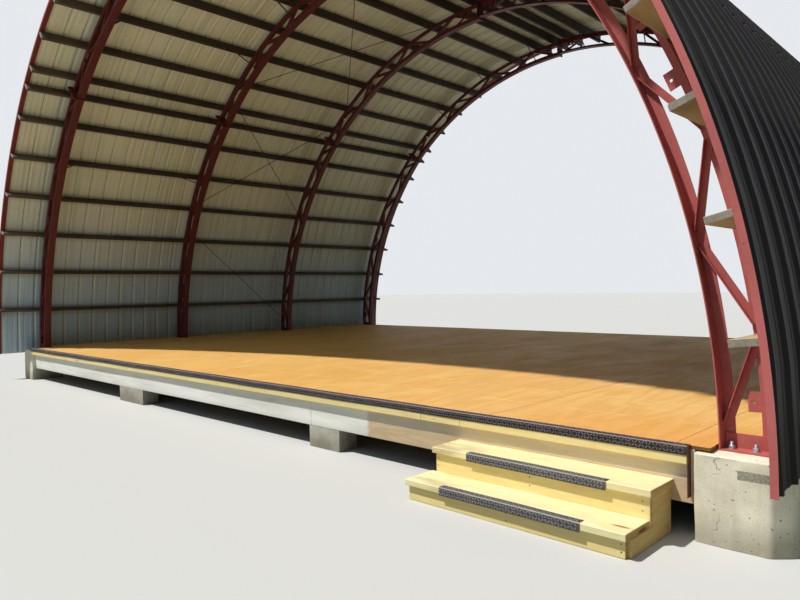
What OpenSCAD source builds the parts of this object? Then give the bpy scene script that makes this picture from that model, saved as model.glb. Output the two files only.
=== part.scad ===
// Bandstand: a half-barrel vault of steel arch trusses over a timber stage, open at both ends.
// Millimetres. X runs along the front edge, Y from the front to the back and Z upwards.
// The origin is at ground level, in the middle of the whole footprint.

/* [Arch trusses] */
// Distance between the planes of two neighbouring trusses
bay = 2350; // [1900:10:2900]
// Radius of the arch, from its centre to the inner face of a truss
arch_r = 5065; // [4600:5:6000]
// Depth of a truss over both chords
truss_depth = 245; // [200:5:300]
// Width of a chord angle's leg that runs along the building
flange_w = 92; // [80:1:110]
// Width of a chord angle's leg in the plane of the truss
chord_leg = 58; // [45:1:70]
// Thickness of a chord angle
chord_t = 7; // [5:1:10]
// Width of both legs of a web angle
web_leg = 38; // [28:1:44]
// Thickness of a web angle
web_t = 5; // [3:1:7]
// Height of the top of the stage above the centre of the arch
centre_drop = 85; // [70:5:120]
// Arc of a leg of a truss up to its splice, in degrees
leg_arc = 45.5; // [44:0.1:47]

/* [Splices and lugs] */
// Thickness of one end plate of a splice
plate_t = 10; // [6:1:16]
// Width of an end plate along the building
plate_w = 160; // [130:5:200]
// Length of an end plate past each chord
plate_ear = 24; // [15:1:40]
// Length of a bracing lug along the arch
lug_len = 105; // [90:5:120]
// Reach of a bracing lug past the chord's leg
lug_reach = 62; // [52:1:66]
// Diameter of the hole in a bracing lug
lug_hole_d = 20; // [19:1:24]
// Diameter of a bracing rod
rod_d = 10; // [8:1:10]

/* [Feet] */
// Width of both legs of a base angle
base_leg = 84; // [65:1:90]
// Thickness of a base angle
base_t = 8; // [6:1:12]
// Diameter of an anchor bolt
anchor_d = 19; // [12:1:22]
// Distance between the two anchor bolts of a foot
anchor_gap = 116; // [90:2:140]
// Length of a concrete pier along the building
pier_len = 450; // [380:10:600]
// Distance a pier stands in from the inner face of the trusses
pier_inset = 85; // [60:5:120]
// Depth of a pier's top below the top of the stage
pier_drop = 26; // [22:1:40]
// Size of the cut corner of a pier
pier_chamfer = 95; // [60:5:150]

/* [Purlins and sheeting] */
// Thickness of a purlin board
purlin_t = 38; // [32:1:45]
// Width of a purlin board
purlin_w = 140; // [120:5:190]
// Overhang of the vault in front of the first truss
front_hang = 575; // [420:5:760]
// Overhang of the sheeting behind the last truss
rear_hang = 540; // [400:5:700]
// Angle between two of the lowest purlins on the right-hand side, in degrees
right_low_pitch = 6.05; // [5.6:0.01:6.6]
// Angle between two of the purlins on the left-hand wall, in degrees
wall_pitch = 6.46; // [6.2:0.01:6.6]
// Thickness of the sheeting
sheet_t = 2; // [1.5:0.5:3]
// Distance between two ribs of the sheeting
rib_pitch = 229; // [180:1:300]
// Height of a rib
rib_h = 19; // [12:1:26]
// Width of a rib at its foot
rib_foot = 48; // [36:1:70]
// Width of a rib at its top
rib_top = 20; // [12:1:30]
// Width of the trim strip on the front and rear edges of the sheeting
trim_w = 34; // [28:1:50]
// Thickness of the trim strip
trim_t = 4; // [3:1:8]
// Depth of the trim strip's leg under the sheeting
trim_leg = 55; // [30:1:90]

/* [Stage] */
// Height of the top of the stage above the ground
stage_h = 480; // [420:10:700]
// Distance of the stage's front edge in front of the first truss
stage_front = 223; // [190:1:260]
// Distance of the stage's back edge behind the last truss
stage_back = 60; // [40:5:150]
// Thickness of the plywood
ply_t = 18; // [12:1:28]
// Width of a plywood sheet
ply_w = 1219; // [900:1:1500]
// Length of a plywood sheet
ply_l = 2438; // [1800:1:3000]
// Gap between two plywood sheets
ply_gap = 3; // [2:0.5:5]
// Thickness of the joists and beams
joist_t = 38; // [32:1:50]
// Height of the joists and beams
joist_h = 286; // [200:1:300]
// Distance between two joists
joist_pitch = 609.5; // [400:0.5:640]
// Height of the fascia strip below the plywood
fascia_h = 76; // [50:1:100]
// Length of each leg of the checkered nosing angle
nosing_leg = 50; // [35:1:70]
// Thickness of the checkered plate
nosing_t = 4; // [3:1:6]
// Distance the plywood runs past the right end of the nosing
bare_corner = 97; // [92:1:150]
// Distance of the butt joint in the front beam from the middle
beam_joint_x = 1814; // [1800:1:2160]
// Place of the left-hand row of support blocks, from the middle
left_block_x = -1640; // [-2600:10:-1000]
// Place of the right-hand row of support blocks, from the middle
right_block_x = 1980; // [1000:10:2600]
// Length of a block in the left-hand row
left_block_l = 620; // [390:10:700]
// Length of a block in the right-hand row
right_block_l = 380; // [300:10:450]
// Width of a concrete block
block_w = 190; // [140:5:240]

/* [Steps] */
// Length of a tread
tread_len = 1450; // [1200:10:1800]
// Depth of the upper tread, from the front beam to its front edge
tread_d = 284; // [240:1:320]
// Distance of the lower tread's front edge in front of the upper tread's
tread_going = 240; // [200:1:280]
// Thickness of a tread
tread_t = 38; // [30:1:45]
// Drop from the top of the stage to the upper tread
first_drop = 190; // [165:5:210]
// Drop from the upper tread to the lower tread
step_drop = 160; // [130:5:180]
// Overhang of a tread past the front of its riser
tread_lip = 25; // [15:1:40]
// Overhang of a tread past the ends of its riser
end_lip = 15; // [8:1:25]
// Distance the lower tread stands to the left of the upper one
lower_shift = 20; // [0:5:40]
// Distance of the steps from the inner face of the right trusses
steps_inset = 198; // [150:1:400]
// Length of the nosing on a tread
step_nosing_len = 925; // [600:10:1100]
// Distance of a tread nosing from the left end of its tread
step_nosing_in = 283; // [150:1:400]

/* [Hidden] */

weld = 1;           // overlap of two pieces that are welded into one
fit_gap = 2;        // gap between a piece and what stands beside it
seat = 0.3;         // clearance of a curved sheet on its purlins
trusses = 4;
segment_steps = 8;  // diagonals in one truss segment
arc_fn = 360;

outer_r = arch_r + truss_depth;
sheet_r = outer_r + purlin_w + seat;
skin_r = sheet_r + sheet_t + rib_h;

centre_z = stage_h - centre_drop;
pier_z = stage_h - pier_drop;
foot_z = pier_z + base_t;

// Front and back of the parts that reach furthest
beam_recess = nosing_t + joist_t;
front_reach = max(front_hang + trim_t, stage_front - beam_recess + tread_d + tread_going + nosing_t);
rear_reach = rear_hang + trim_t;
first_y = (front_reach - rear_reach - (trusses - 1) * bay) / 2;
last_y = first_y + (trusses - 1) * bay;
function truss_y(i) = first_y + i * bay;

sheet_front = first_y - front_hang;
sheet_back = last_y + rear_hang;
edge_y = first_y - stage_front;
back_y = last_y + stage_back;
beam_y = edge_y + beam_recess;

pier_in = arch_r - pier_inset;
pier_out = sheet_r - 10;
stage_half = sheet_r - fit_gap;
mouth_half = arch_r - 10;
nosing_right = mouth_half - bare_corner;
strip_w = 6;
strip_left = nosing_right - strip_w;

// Angles are measured at the arch's centre, from the right-hand level line over the top
seat_angle = asin((foot_z - centre_z) / arch_r);
splice_angle = seat_angle + leg_arc;
plate_angle = plate_t / arch_r * 180 / PI;

// The web of a segment: the angle of its first node, the step between nodes and its last node
foot_gap = 0.95;
node_gap = 0.6;
steps_in_leg = 7.885;
leg_step = leg_arc / steps_in_leg;
crown_step = (90 - splice_angle - 2 * node_gap) / segment_steps;
leg_web = [seat_angle + foot_gap, leg_step, splice_angle - node_gap];
crown_web = [splice_angle + node_gap, crown_step, 90 - node_gap];
function node_angle(web, n) = min(web[0] + n * web[1], web[2]);

// Purlins: a regular pitch up each segment and one purlin on each side of a splice
splice_pair = 1.55;
top_gap = 5.15;
wall_start = splice_angle - splice_pair - top_gap - 5 * wall_pitch;
roof_start_gap = 7.2;
ridge_gap = 5.3;
roof_start = splice_angle + roof_start_gap;
roof_pitch = (90 - ridge_gap - roof_start) / 5;
left_wall_angles = [
    for (i = [0:5]) wall_start + i * wall_pitch,
    splice_angle - splice_pair
];
lowest_drop = 0.17;
right_low_start = wall_start - lowest_drop;
right_low_top = right_low_start + 3 * right_low_pitch;
right_wall_angles = [
    for (i = [0:3]) right_low_start + i * right_low_pitch,
    for (i = [1:3]) right_low_top + i * (splice_angle - splice_pair - right_low_top) / 3
];
roof_angles = [
    splice_angle + splice_pair,
    for (i = [0:5]) roof_start + i * roof_pitch,
    90 - splice_pair
];

steel_red = [0.55, 0.16, 0.13];
galvanised = [0.72, 0.73, 0.74];
pine = [0.93, 0.83, 0.55];
ply_orange = [0.87, 0.62, 0.27];
grey_timber = [0.62, 0.58, 0.52];
dark_timber = [0.36, 0.26, 0.17];
bronze = [0.24, 0.17, 0.14];
concrete = [0.72, 0.70, 0.66];
dark_plate = [0.20, 0.19, 0.20];

// A board or bar given by its two corners
module box(low, high) {
    translate(low) cube(high - low);
}

// Places its children on the arch: X outwards, Y along the building, Z along the arch
module on_arch(angle, radius, y) {
    translate([0, y, centre_z]) rotate([0, -angle, 0]) translate([radius, 0, 0]) children();
}

// Turns a profile, drawn with its radius on X and the building's -Y on Y, along the arch
module along_arch(from, to) {
    translate([0, 0, centre_z]) rotate([90, 0, 0])
        rotate_extrude(start = from, angle = to - from, $fn = arc_fn) children();
}

// A rectangle of the profile from its radii and its places along the building
module ring(r0, r1, y0, y1) {
    translate([r0, -y1]) square([r1 - r0, y1 - y0]);
}

// The same on the left side as on the right
module both_sides() {
    children();
    mirror([1, 0, 0]) children();
}

// A truss is the same to both sides when it is turned half round about its own upright middle line
module half_turn(y) {
    translate([0, 2 * y, 0]) rotate([0, 0, 180]) children();
}

// Concrete piers under the feet of the trusses
module pier(y) {
    front = y - pier_len / 2;
    linear_extrude(pier_z) polygon([
        [pier_in, front],
        [pier_out - pier_chamfer, front],
        [pier_out, front + pier_chamfer],
        [pier_out, front + pier_len],
        [pier_in, front + pier_len]
    ]);
}

module right_piers() {
    color(concrete) for (i = [0:trusses - 1]) pier(truss_y(i));
}

module left_piers() {
    color(concrete) mirror([1, 0, 0]) for (i = [0:trusses - 1]) pier(truss_y(i));
}

// Height of the timber frame under the plywood
beam_low = stage_h - ply_t - joist_h;
beam_high = stage_h - ply_t;

// Joists run along X, a whole number of them between the front beam and the rear beam
joist_first = edge_y + joist_pitch;
joist_count = floor((back_y - joist_t - joist_first) / joist_pitch);
joist_ys = [for (i = [0:joist_count]) joist_first + i * joist_pitch];

// A row of the frame meets a pier where it is less than half a pier from a truss
function at_pier(y) = min([for (i = [0:trusses - 1]) abs(y - truss_y(i))]) < (pier_len + joist_t) / 2 + fit_gap;
function joist_end(y) = at_pier(y) ? pier_in - fit_gap : stage_half - joist_t;

// Concrete blocks in two rows, one under each butt joint of the beams and the joists
module stage_block(x, y, length) {
    box([x - length / 2, y - block_w / 2, 0], [x + length / 2, y + block_w / 2, beam_low]);
}

module stage_blocks() {
    color(concrete) for (y = concat(beam_y + block_w / 2, joist_ys, back_y - block_w / 2)) {
        stage_block(left_block_x, y, left_block_l);
        stage_block(right_block_x, y, right_block_l);
    }
}

// Front beam of two boards that meet at a butt joint
module front_beam() {
    color(grey_timber) {
        box([-pier_in + fit_gap, beam_y, beam_low], [beam_joint_x - fit_gap, beam_y + joist_t, beam_high]);
        box([beam_joint_x, beam_y, beam_low], [pier_in - fit_gap, beam_y + joist_t, beam_high]);
    }
}

module rear_beam() {
    color(grey_timber)
        box([-pier_in + fit_gap, back_y - joist_t, beam_low], [pier_in - fit_gap, back_y, beam_high]);
}

// Edge beams between the piers, just inside the sheeting
module side_beams() {
    color(grey_timber) both_sides() for (i = [0:trusses - 2])
        box([stage_half - joist_t, truss_y(i) + pier_len / 2 + fit_gap, beam_low],
            [stage_half, truss_y(i + 1) - pier_len / 2 - fit_gap, beam_high]);
}

// Three boards to each joist, butted over the blocks
module floor_joists() {
    color(grey_timber) for (y = joist_ys) {
        joints = [-joist_end(y), left_block_x, right_block_x, joist_end(y)];
        for (i = [0:2])
            box([joints[i] + (i > 0 ? fit_gap : 0), y - joist_t / 2, beam_low],
                [joints[i + 1], y + joist_t / 2, beam_high]);
    }
}

// Outline of the plywood floor, with a notch round each foot
notch_in = arch_r - 14;
notch_out = outer_r + 14;
notch_front = flange_w + 12;
notch_back = 20;
module foot_notch(y) {
    translate([notch_in, y - notch_front]) square([notch_out - notch_in, notch_front + notch_back]);
}

module open_corner(y) {
    translate([notch_in, y - notch_front - 1]) square([stage_half, notch_front + notch_back + 1]);
}

module floor_outline() {
    difference() {
        union() {
            translate([-mouth_half, edge_y + nosing_t]) square([2 * mouth_half, back_y - edge_y - nosing_t]);
            translate([-stage_half, first_y - notch_front]) square([2 * stage_half, back_y - first_y + notch_front]);
        }
        for (i = [0:trusses - 1]) {
            foot_notch(truss_y(i));
            translate([0, 2 * truss_y(i)]) rotate(180) foot_notch(truss_y(i));
        }
        open_corner(first_y);
        translate([0, 2 * last_y]) rotate(180) open_corner(last_y);
        translate([strip_left, edge_y]) square([bare_corner + strip_w + 1, beam_y - edge_y]);
        translate([-notch_in - stage_half, first_y - notch_front - 1])
            square([stage_half, 2 * notch_front + 1]);
    }
}

// Plywood sheets laid with their long side along the building, every other row shifted by half
module plywood_floor() {
    columns = ceil(stage_half / ply_w);
    rows = ceil((back_y - edge_y) / ply_l) + 1;
    color(ply_orange) translate([0, 0, beam_high]) linear_extrude(ply_t) intersection() {
        floor_outline();
        for (c = [-columns:columns - 1], r = [0:rows]) {
            shift = (c + columns) % 2 * ply_l / 2;
            translate([c * ply_w + ply_gap / 2, edge_y + r * ply_l - shift + ply_gap / 2])
                square([ply_w - ply_gap, ply_l - ply_gap]);
        }
    }
}

// Yellow pine strip under the front edge of the plywood
module fascia_strip() {
    color(pine) box([-mouth_half, edge_y + nosing_t, beam_high - fascia_h],
                    [strip_left, beam_y, beam_high]);
}

// Angle of checkered plate on the front edge of the stage
module stage_nosing() {
    color(dark_plate) {
        box([-mouth_half, edge_y, stage_h + nosing_t - nosing_leg], [strip_left, edge_y + nosing_t, stage_h + nosing_t]);
        box([-mouth_half, edge_y, stage_h], [strip_left, edge_y + nosing_leg, stage_h + nosing_t]);
    }
}

// Rusty flat bar that closes the right end of the fascia and of the nosing
strip_h = 250;
module corner_strip() {
    color([0.33, 0.20, 0.13])
        box([strip_left, edge_y, beam_high - strip_h], [nosing_right, beam_y, stage_h + nosing_t]);
}

// Steps: two treads on risers, closed by a cheek at each end
tread_right = arch_r - steps_inset;
tread_left = tread_right - tread_len;
upper_z = stage_h - first_drop;
lower_z = upper_z - step_drop;
upper_front = beam_y - tread_d;
lower_front = upper_front - tread_going;
board_t = 25;

module step_treads() {
    color(pine) {
        box([tread_left, upper_front, upper_z - tread_t], [tread_right, beam_y, upper_z]);
        box([tread_left - lower_shift, lower_front, lower_z - tread_t],
            [tread_right - lower_shift, upper_front + tread_lip, lower_z]);
    }
}

// A riser under each tread
module step_risers() {
    color(pine) {
        box([tread_left + end_lip, upper_front + tread_lip, lower_z - tread_t],
            [tread_right - end_lip, upper_front + tread_lip + board_t, upper_z - tread_t]);
        box([tread_left + end_lip - lower_shift, lower_front + tread_lip, 0],
            [tread_right - end_lip - lower_shift, lower_front + tread_lip + board_t, lower_z - tread_t]);
    }
}

// Cheek: a stepped board behind the risers, cut away under the lower tread
module cheek_outline() {
    back = beam_y;
    polygon([
        [lower_front + tread_lip + board_t, 0],
        [back, 0],
        [back, upper_z - tread_t],
        [upper_front + tread_lip + board_t, upper_z - tread_t],
        [upper_front + tread_lip + board_t, lower_z - tread_t],
        [lower_front + tread_lip + board_t, lower_z - tread_t]
    ]);
}

module step_cheeks() {
    room = tread_len - 2 * end_lip - joist_t;
    color(pine) for (i = [0:2])
        translate([tread_left + end_lip + i * room / 2, 0, 0])
            rotate([90, 0, 90]) linear_extrude(joist_t) cheek_outline();
}

// Checkered angles on the front edges of the treads
module step_nosing(front, top, shift) {
    left = tread_left + step_nosing_in - shift;
    box([left, front - nosing_t, top + nosing_t - nosing_leg],
        [left + step_nosing_len, front, top + nosing_t]);
    box([left, front - nosing_t, top], [left + step_nosing_len, front - nosing_t + nosing_leg, top + nosing_t]);
}

module step_nosings() {
    color(dark_plate) {
        step_nosing(upper_front, upper_z, 0);
        step_nosing(lower_front, lower_z, lower_shift);
    }
}

// Base angles: a level leg on the pier and an upright leg against the chords
anchor_off = 15;
anchor_mid = arch_r + truss_depth / 2 - anchor_off;
module base_angle(y) {
    difference() {
        union() {
            box([arch_r - 4, y - base_leg, pier_z], [outer_r + 4, y, pier_z + base_t]);
            box([arch_r + chord_t + 1, y - base_t, pier_z], [outer_r - chord_t - 1, y, pier_z + base_leg]);
        }
        for (s = [-1, 1]) translate([anchor_mid + s * anchor_gap / 2, y - anchor_in, pier_z - 1])
            cylinder(d = anchor_d + 2, h = base_t + 2, $fn = 32);
    }
}

module base_angles() {
    color(steel_red) for (i = [0:trusses - 1]) {
        base_angle(truss_y(i));
        half_turn(truss_y(i)) base_angle(truss_y(i));
    }
}

// Anchor bolts: a stud with its nut and washer
anchor_in = 40;
nut_af = 1.5 * anchor_d;
nut_h = 0.85 * anchor_d;
anchor_washer_d = 2.1 * anchor_d;
anchor_washer_t = 3;
module anchor_bolt() {
    translate([0, 0, pier_z]) cylinder(d = anchor_d, h = base_t + 2 * anchor_d, $fn = 32);
    translate([0, 0, foot_z]) cylinder(d = anchor_washer_d, h = anchor_washer_t, $fn = 32);
    translate([0, 0, foot_z + anchor_washer_t]) cylinder(d = nut_af / cos(30), h = nut_h, $fn = 6);
}

module anchor_pair(y) {
    for (s = [-1, 1]) translate([anchor_mid + s * anchor_gap / 2, y - anchor_in, 0]) anchor_bolt();
}

module anchor_bolts() {
    color(galvanised) for (i = [0:trusses - 1]) {
        anchor_pair(truss_y(i));
        half_turn(truss_y(i)) anchor_pair(truss_y(i));
    }
}

// Chords: angles rolled to the arch, with their wide legs towards the front
module inner_chord(y, from, to) {
    along_arch(from, to) {
        ring(arch_r, arch_r + chord_t, y + chord_t - flange_w, y + chord_t);
        ring(arch_r, arch_r + chord_leg, y, y + chord_t);
    }
}

module outer_chord(y, from, to) {
    along_arch(from, to) {
        ring(outer_r - chord_t, outer_r, y + chord_t - flange_w, y + chord_t);
        ring(outer_r - chord_leg, outer_r, y, y + chord_t);
    }
}

// One diagonal of the web, an angle in front of the chords' legs
web_lap = 0.55;     // share of a chord's leg that a diagonal reaches over
web_in = arch_r + chord_t + web_leg / 2;
web_out = outer_r - chord_leg * web_lap;
function arch_point(angle, radius) = [radius * cos(angle), centre_z + radius * sin(angle)];
module diagonal(y, from, from_r, to, to_r, leg_z) {
    a = arch_point(from, from_r);
    b = arch_point(to, to_r);
    run = b - a;
    reach = norm(run);
    translate([a[0], y, a[1]]) rotate([0, -atan2(run[1], run[0]), 0]) {
        translate([0, -web_t, -web_leg / 2]) cube([reach, web_t + weld, web_leg]);
        translate([0, -web_leg, leg_z]) cube([reach, web_leg, web_t]);
    }
}

// A plate across the end of a segment, on the side of the segment
module end_plate(y, angle, side) {
    on_arch(angle, arch_r - plate_ear, y + chord_t - flange_w)
        translate([0, 0, side > 0 ? 0 : -plate_t])
            cube([truss_depth + 2 * plate_ear, plate_w, plate_t]);
}

// Lugs for bracing rods on the leg of the outer chord, each with its hole
lug_t = 8;
lug_edge = 27;
lug_in = outer_r - chord_leg - lug_reach;
lug_hole_r = lug_in + lug_edge;
leg_lugs = [for (n = [0.3, 3.7, 4.49]) node_angle(leg_web, n)];
crown_lugs = [for (n = [0.82, 1.16, 7.66]) node_angle(crown_web, n)];
module lug(y, angle) {
    on_arch(angle, lug_in, y)
        translate([0, 0, -lug_len / 2]) cube([lug_reach + chord_leg / 2, lug_t, lug_len]);
}

module lug_bore(y, angle) {
    on_arch(angle, lug_hole_r, y - 1) rotate([-90, 0, 0]) cylinder(d = lug_hole_d, h = lug_t + 2, $fn = 32);
}

// The zigzag of one segment, each diagonal with its forward leg on the side of the arch's centre
node_room = 0.07;   // share of a step that a diagonal stops short of its node
module zigzag(y, web) {
    for (n = [0:2:segment_steps - 1]) {
        diagonal(y, node_angle(web, n + node_room), web_in,
                 node_angle(web, n + 1 - node_room), web_out, web_leg / 2 - web_t);
        diagonal(y, node_angle(web, n + 2 - node_room), web_in,
                 node_angle(web, n + 1 + node_room), web_out, -web_leg / 2);
    }
}

// One welded segment: two chords, the web, end plates where it is spliced, and lugs
chord_start = -4;   // the chords start below the foot and are cut level with it
module leg_segment(y) {
    top = splice_angle - plate_angle / 2;
    difference() {
        union() {
            inner_chord(y, chord_start, top);
            outer_chord(y, chord_start, top);
            zigzag(y, leg_web);
            end_plate(y, splice_angle, -1);
            for (a = leg_lugs) lug(y, a);
        }
        for (a = leg_lugs) lug_bore(y, a);
        box([arch_r / 2, y - plate_w, centre_z - arch_r / 4], [outer_r * 1.2, y + plate_w, foot_z]);
    }
}

module crown_segment(y) {
    from = splice_angle + plate_angle / 2;
    top = 90 - plate_angle / 2;
    difference() {
        union() {
            inner_chord(y, from, top);
            outer_chord(y, from, top);
            zigzag(y, crown_web);
            end_plate(y, splice_angle, 1);
            end_plate(y, 90, -1);
            for (a = crown_lugs) lug(y, a);
        }
        for (a = crown_lugs) lug_bore(y, a);
    }
}

module truss_leg(i) {
    color(steel_red) leg_segment(truss_y(i));
}

module truss_crown(i) {
    color(steel_red) crown_segment(truss_y(i));
}

module truss_1_right_leg() truss_leg(0);
module truss_1_right_crown() truss_crown(0);
module truss_1_left_crown() half_turn(truss_y(0)) truss_crown(0);
module truss_1_left_leg() half_turn(truss_y(0)) truss_leg(0);
module truss_2_right_leg() truss_leg(1);
module truss_2_right_crown() truss_crown(1);
module truss_2_left_crown() half_turn(truss_y(1)) truss_crown(1);
module truss_2_left_leg() half_turn(truss_y(1)) truss_leg(1);
module truss_3_right_leg() truss_leg(2);
module truss_3_right_crown() truss_crown(2);
module truss_3_left_crown() half_turn(truss_y(2)) truss_crown(2);
module truss_3_left_leg() half_turn(truss_y(2)) truss_leg(2);
module truss_4_right_leg() truss_leg(3);
module truss_4_right_crown() truss_crown(3);
module truss_4_left_crown() half_turn(truss_y(3)) truss_crown(3);
module truss_4_left_leg() half_turn(truss_y(3)) truss_leg(3);

// Purlins: boards on edge across the outer chords
module purlin(angle) {
    on_arch(angle, outer_r, sheet_front)
        translate([0, 0, -purlin_t / 2]) cube([purlin_w, sheet_back - sheet_front, purlin_t]);
}

module right_wall_purlins() {
    color(dark_timber) for (a = right_wall_angles) purlin(a);
}

module right_roof_purlins() {
    color(dark_timber) for (a = roof_angles) purlin(a);
}

module left_roof_purlins() {
    color(dark_timber) mirror([1, 0, 0]) for (a = roof_angles) purlin(a);
}

module left_wall_purlins() {
    color(dark_timber) mirror([1, 0, 0]) for (a = left_wall_angles) purlin(a);
}

// Flat braces from the leg of the inner chord out to the lower side of a purlin
brace_w = 36;
brace_t = 4;
brace_run = 330;
brace_lap = 0.45;   // share of a purlin's width that a brace reaches over
roof_brace_angles = [roof_angles[2], roof_angles[4], roof_angles[6]];
right_brace_angles = concat(right_wall_angles[4], roof_brace_angles);
left_brace_angles = concat(left_wall_angles[4], roof_brace_angles);
module brace_outline() {
    foot = arch_r + chord_t + 4;
    head = outer_r + purlin_w * brace_lap;
    polygon([[foot, 0], [foot + brace_w, 0], [head + brace_w, brace_run], [head, brace_run]]);
}

module flange_brace(y, angle) {
    on_arch(angle, 0, y) translate([0, 0, -purlin_t / 2 - brace_t]) linear_extrude(brace_t) brace_outline();
}

module back_brace(y, angle) {
    flange_brace(y + chord_t, angle);
}

module front_brace(y, angle) {
    translate([0, 2 * y, 0]) mirror([0, 1, 0]) flange_brace(y, angle);
}

// They stand in the first and the last bay, one set at each truss
module flange_braces() {
    color(steel_red) for (i = [0:2:trusses - 2]) {
        for (a = right_brace_angles) {
            back_brace(truss_y(i), a);
            front_brace(truss_y(i + 1), a);
        }
        for (a = left_brace_angles) {
            half_turn(truss_y(i)) front_brace(truss_y(i), a);
            half_turn(truss_y(i + 1)) back_brace(truss_y(i + 1), a);
        }
    }
}

// Rods in the middle bay, each through a lug at both ends and held there by a washer: one at the
// foot of either wall, and crossed pairs above it
washer_d = 30;
washer_t = 10;
module rod(a, b) {
    run = b - a;
    translate(a) rotate([0, acos(run[2] / norm(run)), atan2(run[1], run[0])])
        cylinder(d = rod_d, h = norm(run), $fn = 12);
}

function hole_point(angle, y) = [lug_hole_r * cos(angle), y, centre_z + lug_hole_r * sin(angle)];
module rod_washer(angle, y) {
    on_arch(angle, lug_hole_r, y) rotate([-90, 0, 0]) cylinder(d = washer_d, h = washer_t, $fn = 12);
}

// Front of a lug: on the left-hand side the lugs stand in front of the truss's plane
function lug_front(angle, i) = truss_y(i) - (angle > 90 ? lug_t : 0);
function rod_near(angle) = lug_front(angle, 1) - washer_t / 2;
function rod_far(angle) = lug_front(angle, 2) + lug_t + washer_t / 2;

module washed_rod(near, far) {
    rod(hole_point(near, rod_near(near)), hole_point(far, rod_far(far)));
    rod_washer(near, lug_front(near, 1) - washer_t);
    rod_washer(far, lug_front(far, 2) + lug_t);
}

module rod_cross(low, high) {
    washed_rod(low, high);
    washed_rod(high, low);
}

module bracing_rods() {
    crosses = [
        [leg_lugs[2], crown_lugs[0]],
        [crown_lugs[1], crown_lugs[2]]
    ];
    color(steel_red) {
        for (c = crosses) {
            rod_cross(c[0], c[1]);
            rod_cross(180 - c[0], 180 - c[1]);
        }
        washed_rod(leg_lugs[1], leg_lugs[0]);
        washed_rod(180 - leg_lugs[1], 180 - leg_lugs[0]);
    }
}

// Ribbed sheeting, its ribs running up and over the vault
sheet_len = sheet_back - sheet_front;
rib_count = floor((sheet_len - rib_foot) / rib_pitch);
rib_lead = (sheet_len - rib_count * rib_pitch) / 2;
function rib_points(base) = [
    for (i = [0:rib_count]) let (y = sheet_front + rib_lead + i * rib_pitch) each [
        [base, y - rib_foot / 2],
        [base + rib_h, y - rib_top / 2],
        [base + rib_h, y + rib_top / 2],
        [base, y + rib_foot / 2]
    ]
];
function turned(points) = [for (p = points) [p[0], -p[1]]];
function reversed(points) = [for (i = [len(points) - 1:-1:0]) points[i]];

module sheet_profile() {
    polygon(turned(concat(
        [[sheet_r, sheet_front]], rib_points(sheet_r), [[sheet_r, sheet_back]],
        [[sheet_r + sheet_t, sheet_back]], reversed(rib_points(sheet_r + sheet_t)),
        [[sheet_r + sheet_t, sheet_front]]
    )));
}

// The sheets of a side meet over a purlin of the wall and over a purlin of the roof
module sheeting(from, to) {
    color(bronze) along_arch(from, to) sheet_profile();
}

right_low_joint = right_wall_angles[4];
left_low_joint = 180 - left_wall_angles[4];
high_joint = roof_angles[2];
module right_lower_sheeting() sheeting(0, right_low_joint);
module right_middle_sheeting() sheeting(right_low_joint, high_joint);
module right_upper_sheeting() sheeting(high_joint, 90);
module left_upper_sheeting() sheeting(90, 180 - high_joint);
module left_middle_sheeting() sheeting(180 - high_joint, left_low_joint);
module left_lower_sheeting() sheeting(left_low_joint, 180);

// Trim angle on one end of the sheeting, in two halves, its inner leg cut round the purlins
trim_low = skin_r - trim_w;
module trim_slots(angles, y) {
    for (a = angles) on_arch(a, trim_low - 10, y)
        translate([0, 0, -purlin_t / 2 - fit_gap])
            cube([trim_t + 20, trim_leg + 1, purlin_t + 2 * fit_gap]);
}

module trim_half(from, angles, face_y, leg_y) {
    difference() {
        along_arch(from, from + 90) {
            ring(trim_low, skin_r, face_y, face_y + trim_t);
            ring(trim_low, trim_low + trim_t, min(face_y, leg_y), max(face_y, leg_y) + trim_t);
        }
        trim_slots(angles, leg_y > face_y ? face_y + trim_t : leg_y - 1);
    }
}

right_angles = concat(right_wall_angles, roof_angles);
left_angles = [for (a = concat(left_wall_angles, roof_angles)) 180 - a];
module edge_trims() {
    color(steel_red) {
        for (ends = [[sheet_front - trim_t, sheet_front + trim_leg - trim_t], [sheet_back, sheet_back - trim_leg]]) {
            trim_half(0, right_angles, ends[0], ends[1]);
            trim_half(90, left_angles, ends[0], ends[1]);
        }
    }
}

right_piers();
left_piers();
stage_blocks();
front_beam();
rear_beam();
side_beams();
floor_joists();
plywood_floor();
fascia_strip();
stage_nosing();
corner_strip();
step_treads();
step_risers();
step_cheeks();
step_nosings();
base_angles();
anchor_bolts();
truss_1_right_leg();
truss_1_right_crown();
truss_1_left_crown();
truss_1_left_leg();
truss_2_right_leg();
truss_2_right_crown();
truss_2_left_crown();
truss_2_left_leg();
truss_3_right_leg();
truss_3_right_crown();
truss_3_left_crown();
truss_3_left_leg();
truss_4_right_leg();
truss_4_right_crown();
truss_4_left_crown();
truss_4_left_leg();
right_wall_purlins();
right_roof_purlins();
left_roof_purlins();
left_wall_purlins();
flange_braces();
bracing_rods();
right_lower_sheeting();
right_middle_sheeting();
right_upper_sheeting();
left_upper_sheeting();
left_middle_sheeting();
left_lower_sheeting();
edge_trims();
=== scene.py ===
import math

import bpy
import numpy as np
from mathutils import Matrix, Vector


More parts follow.
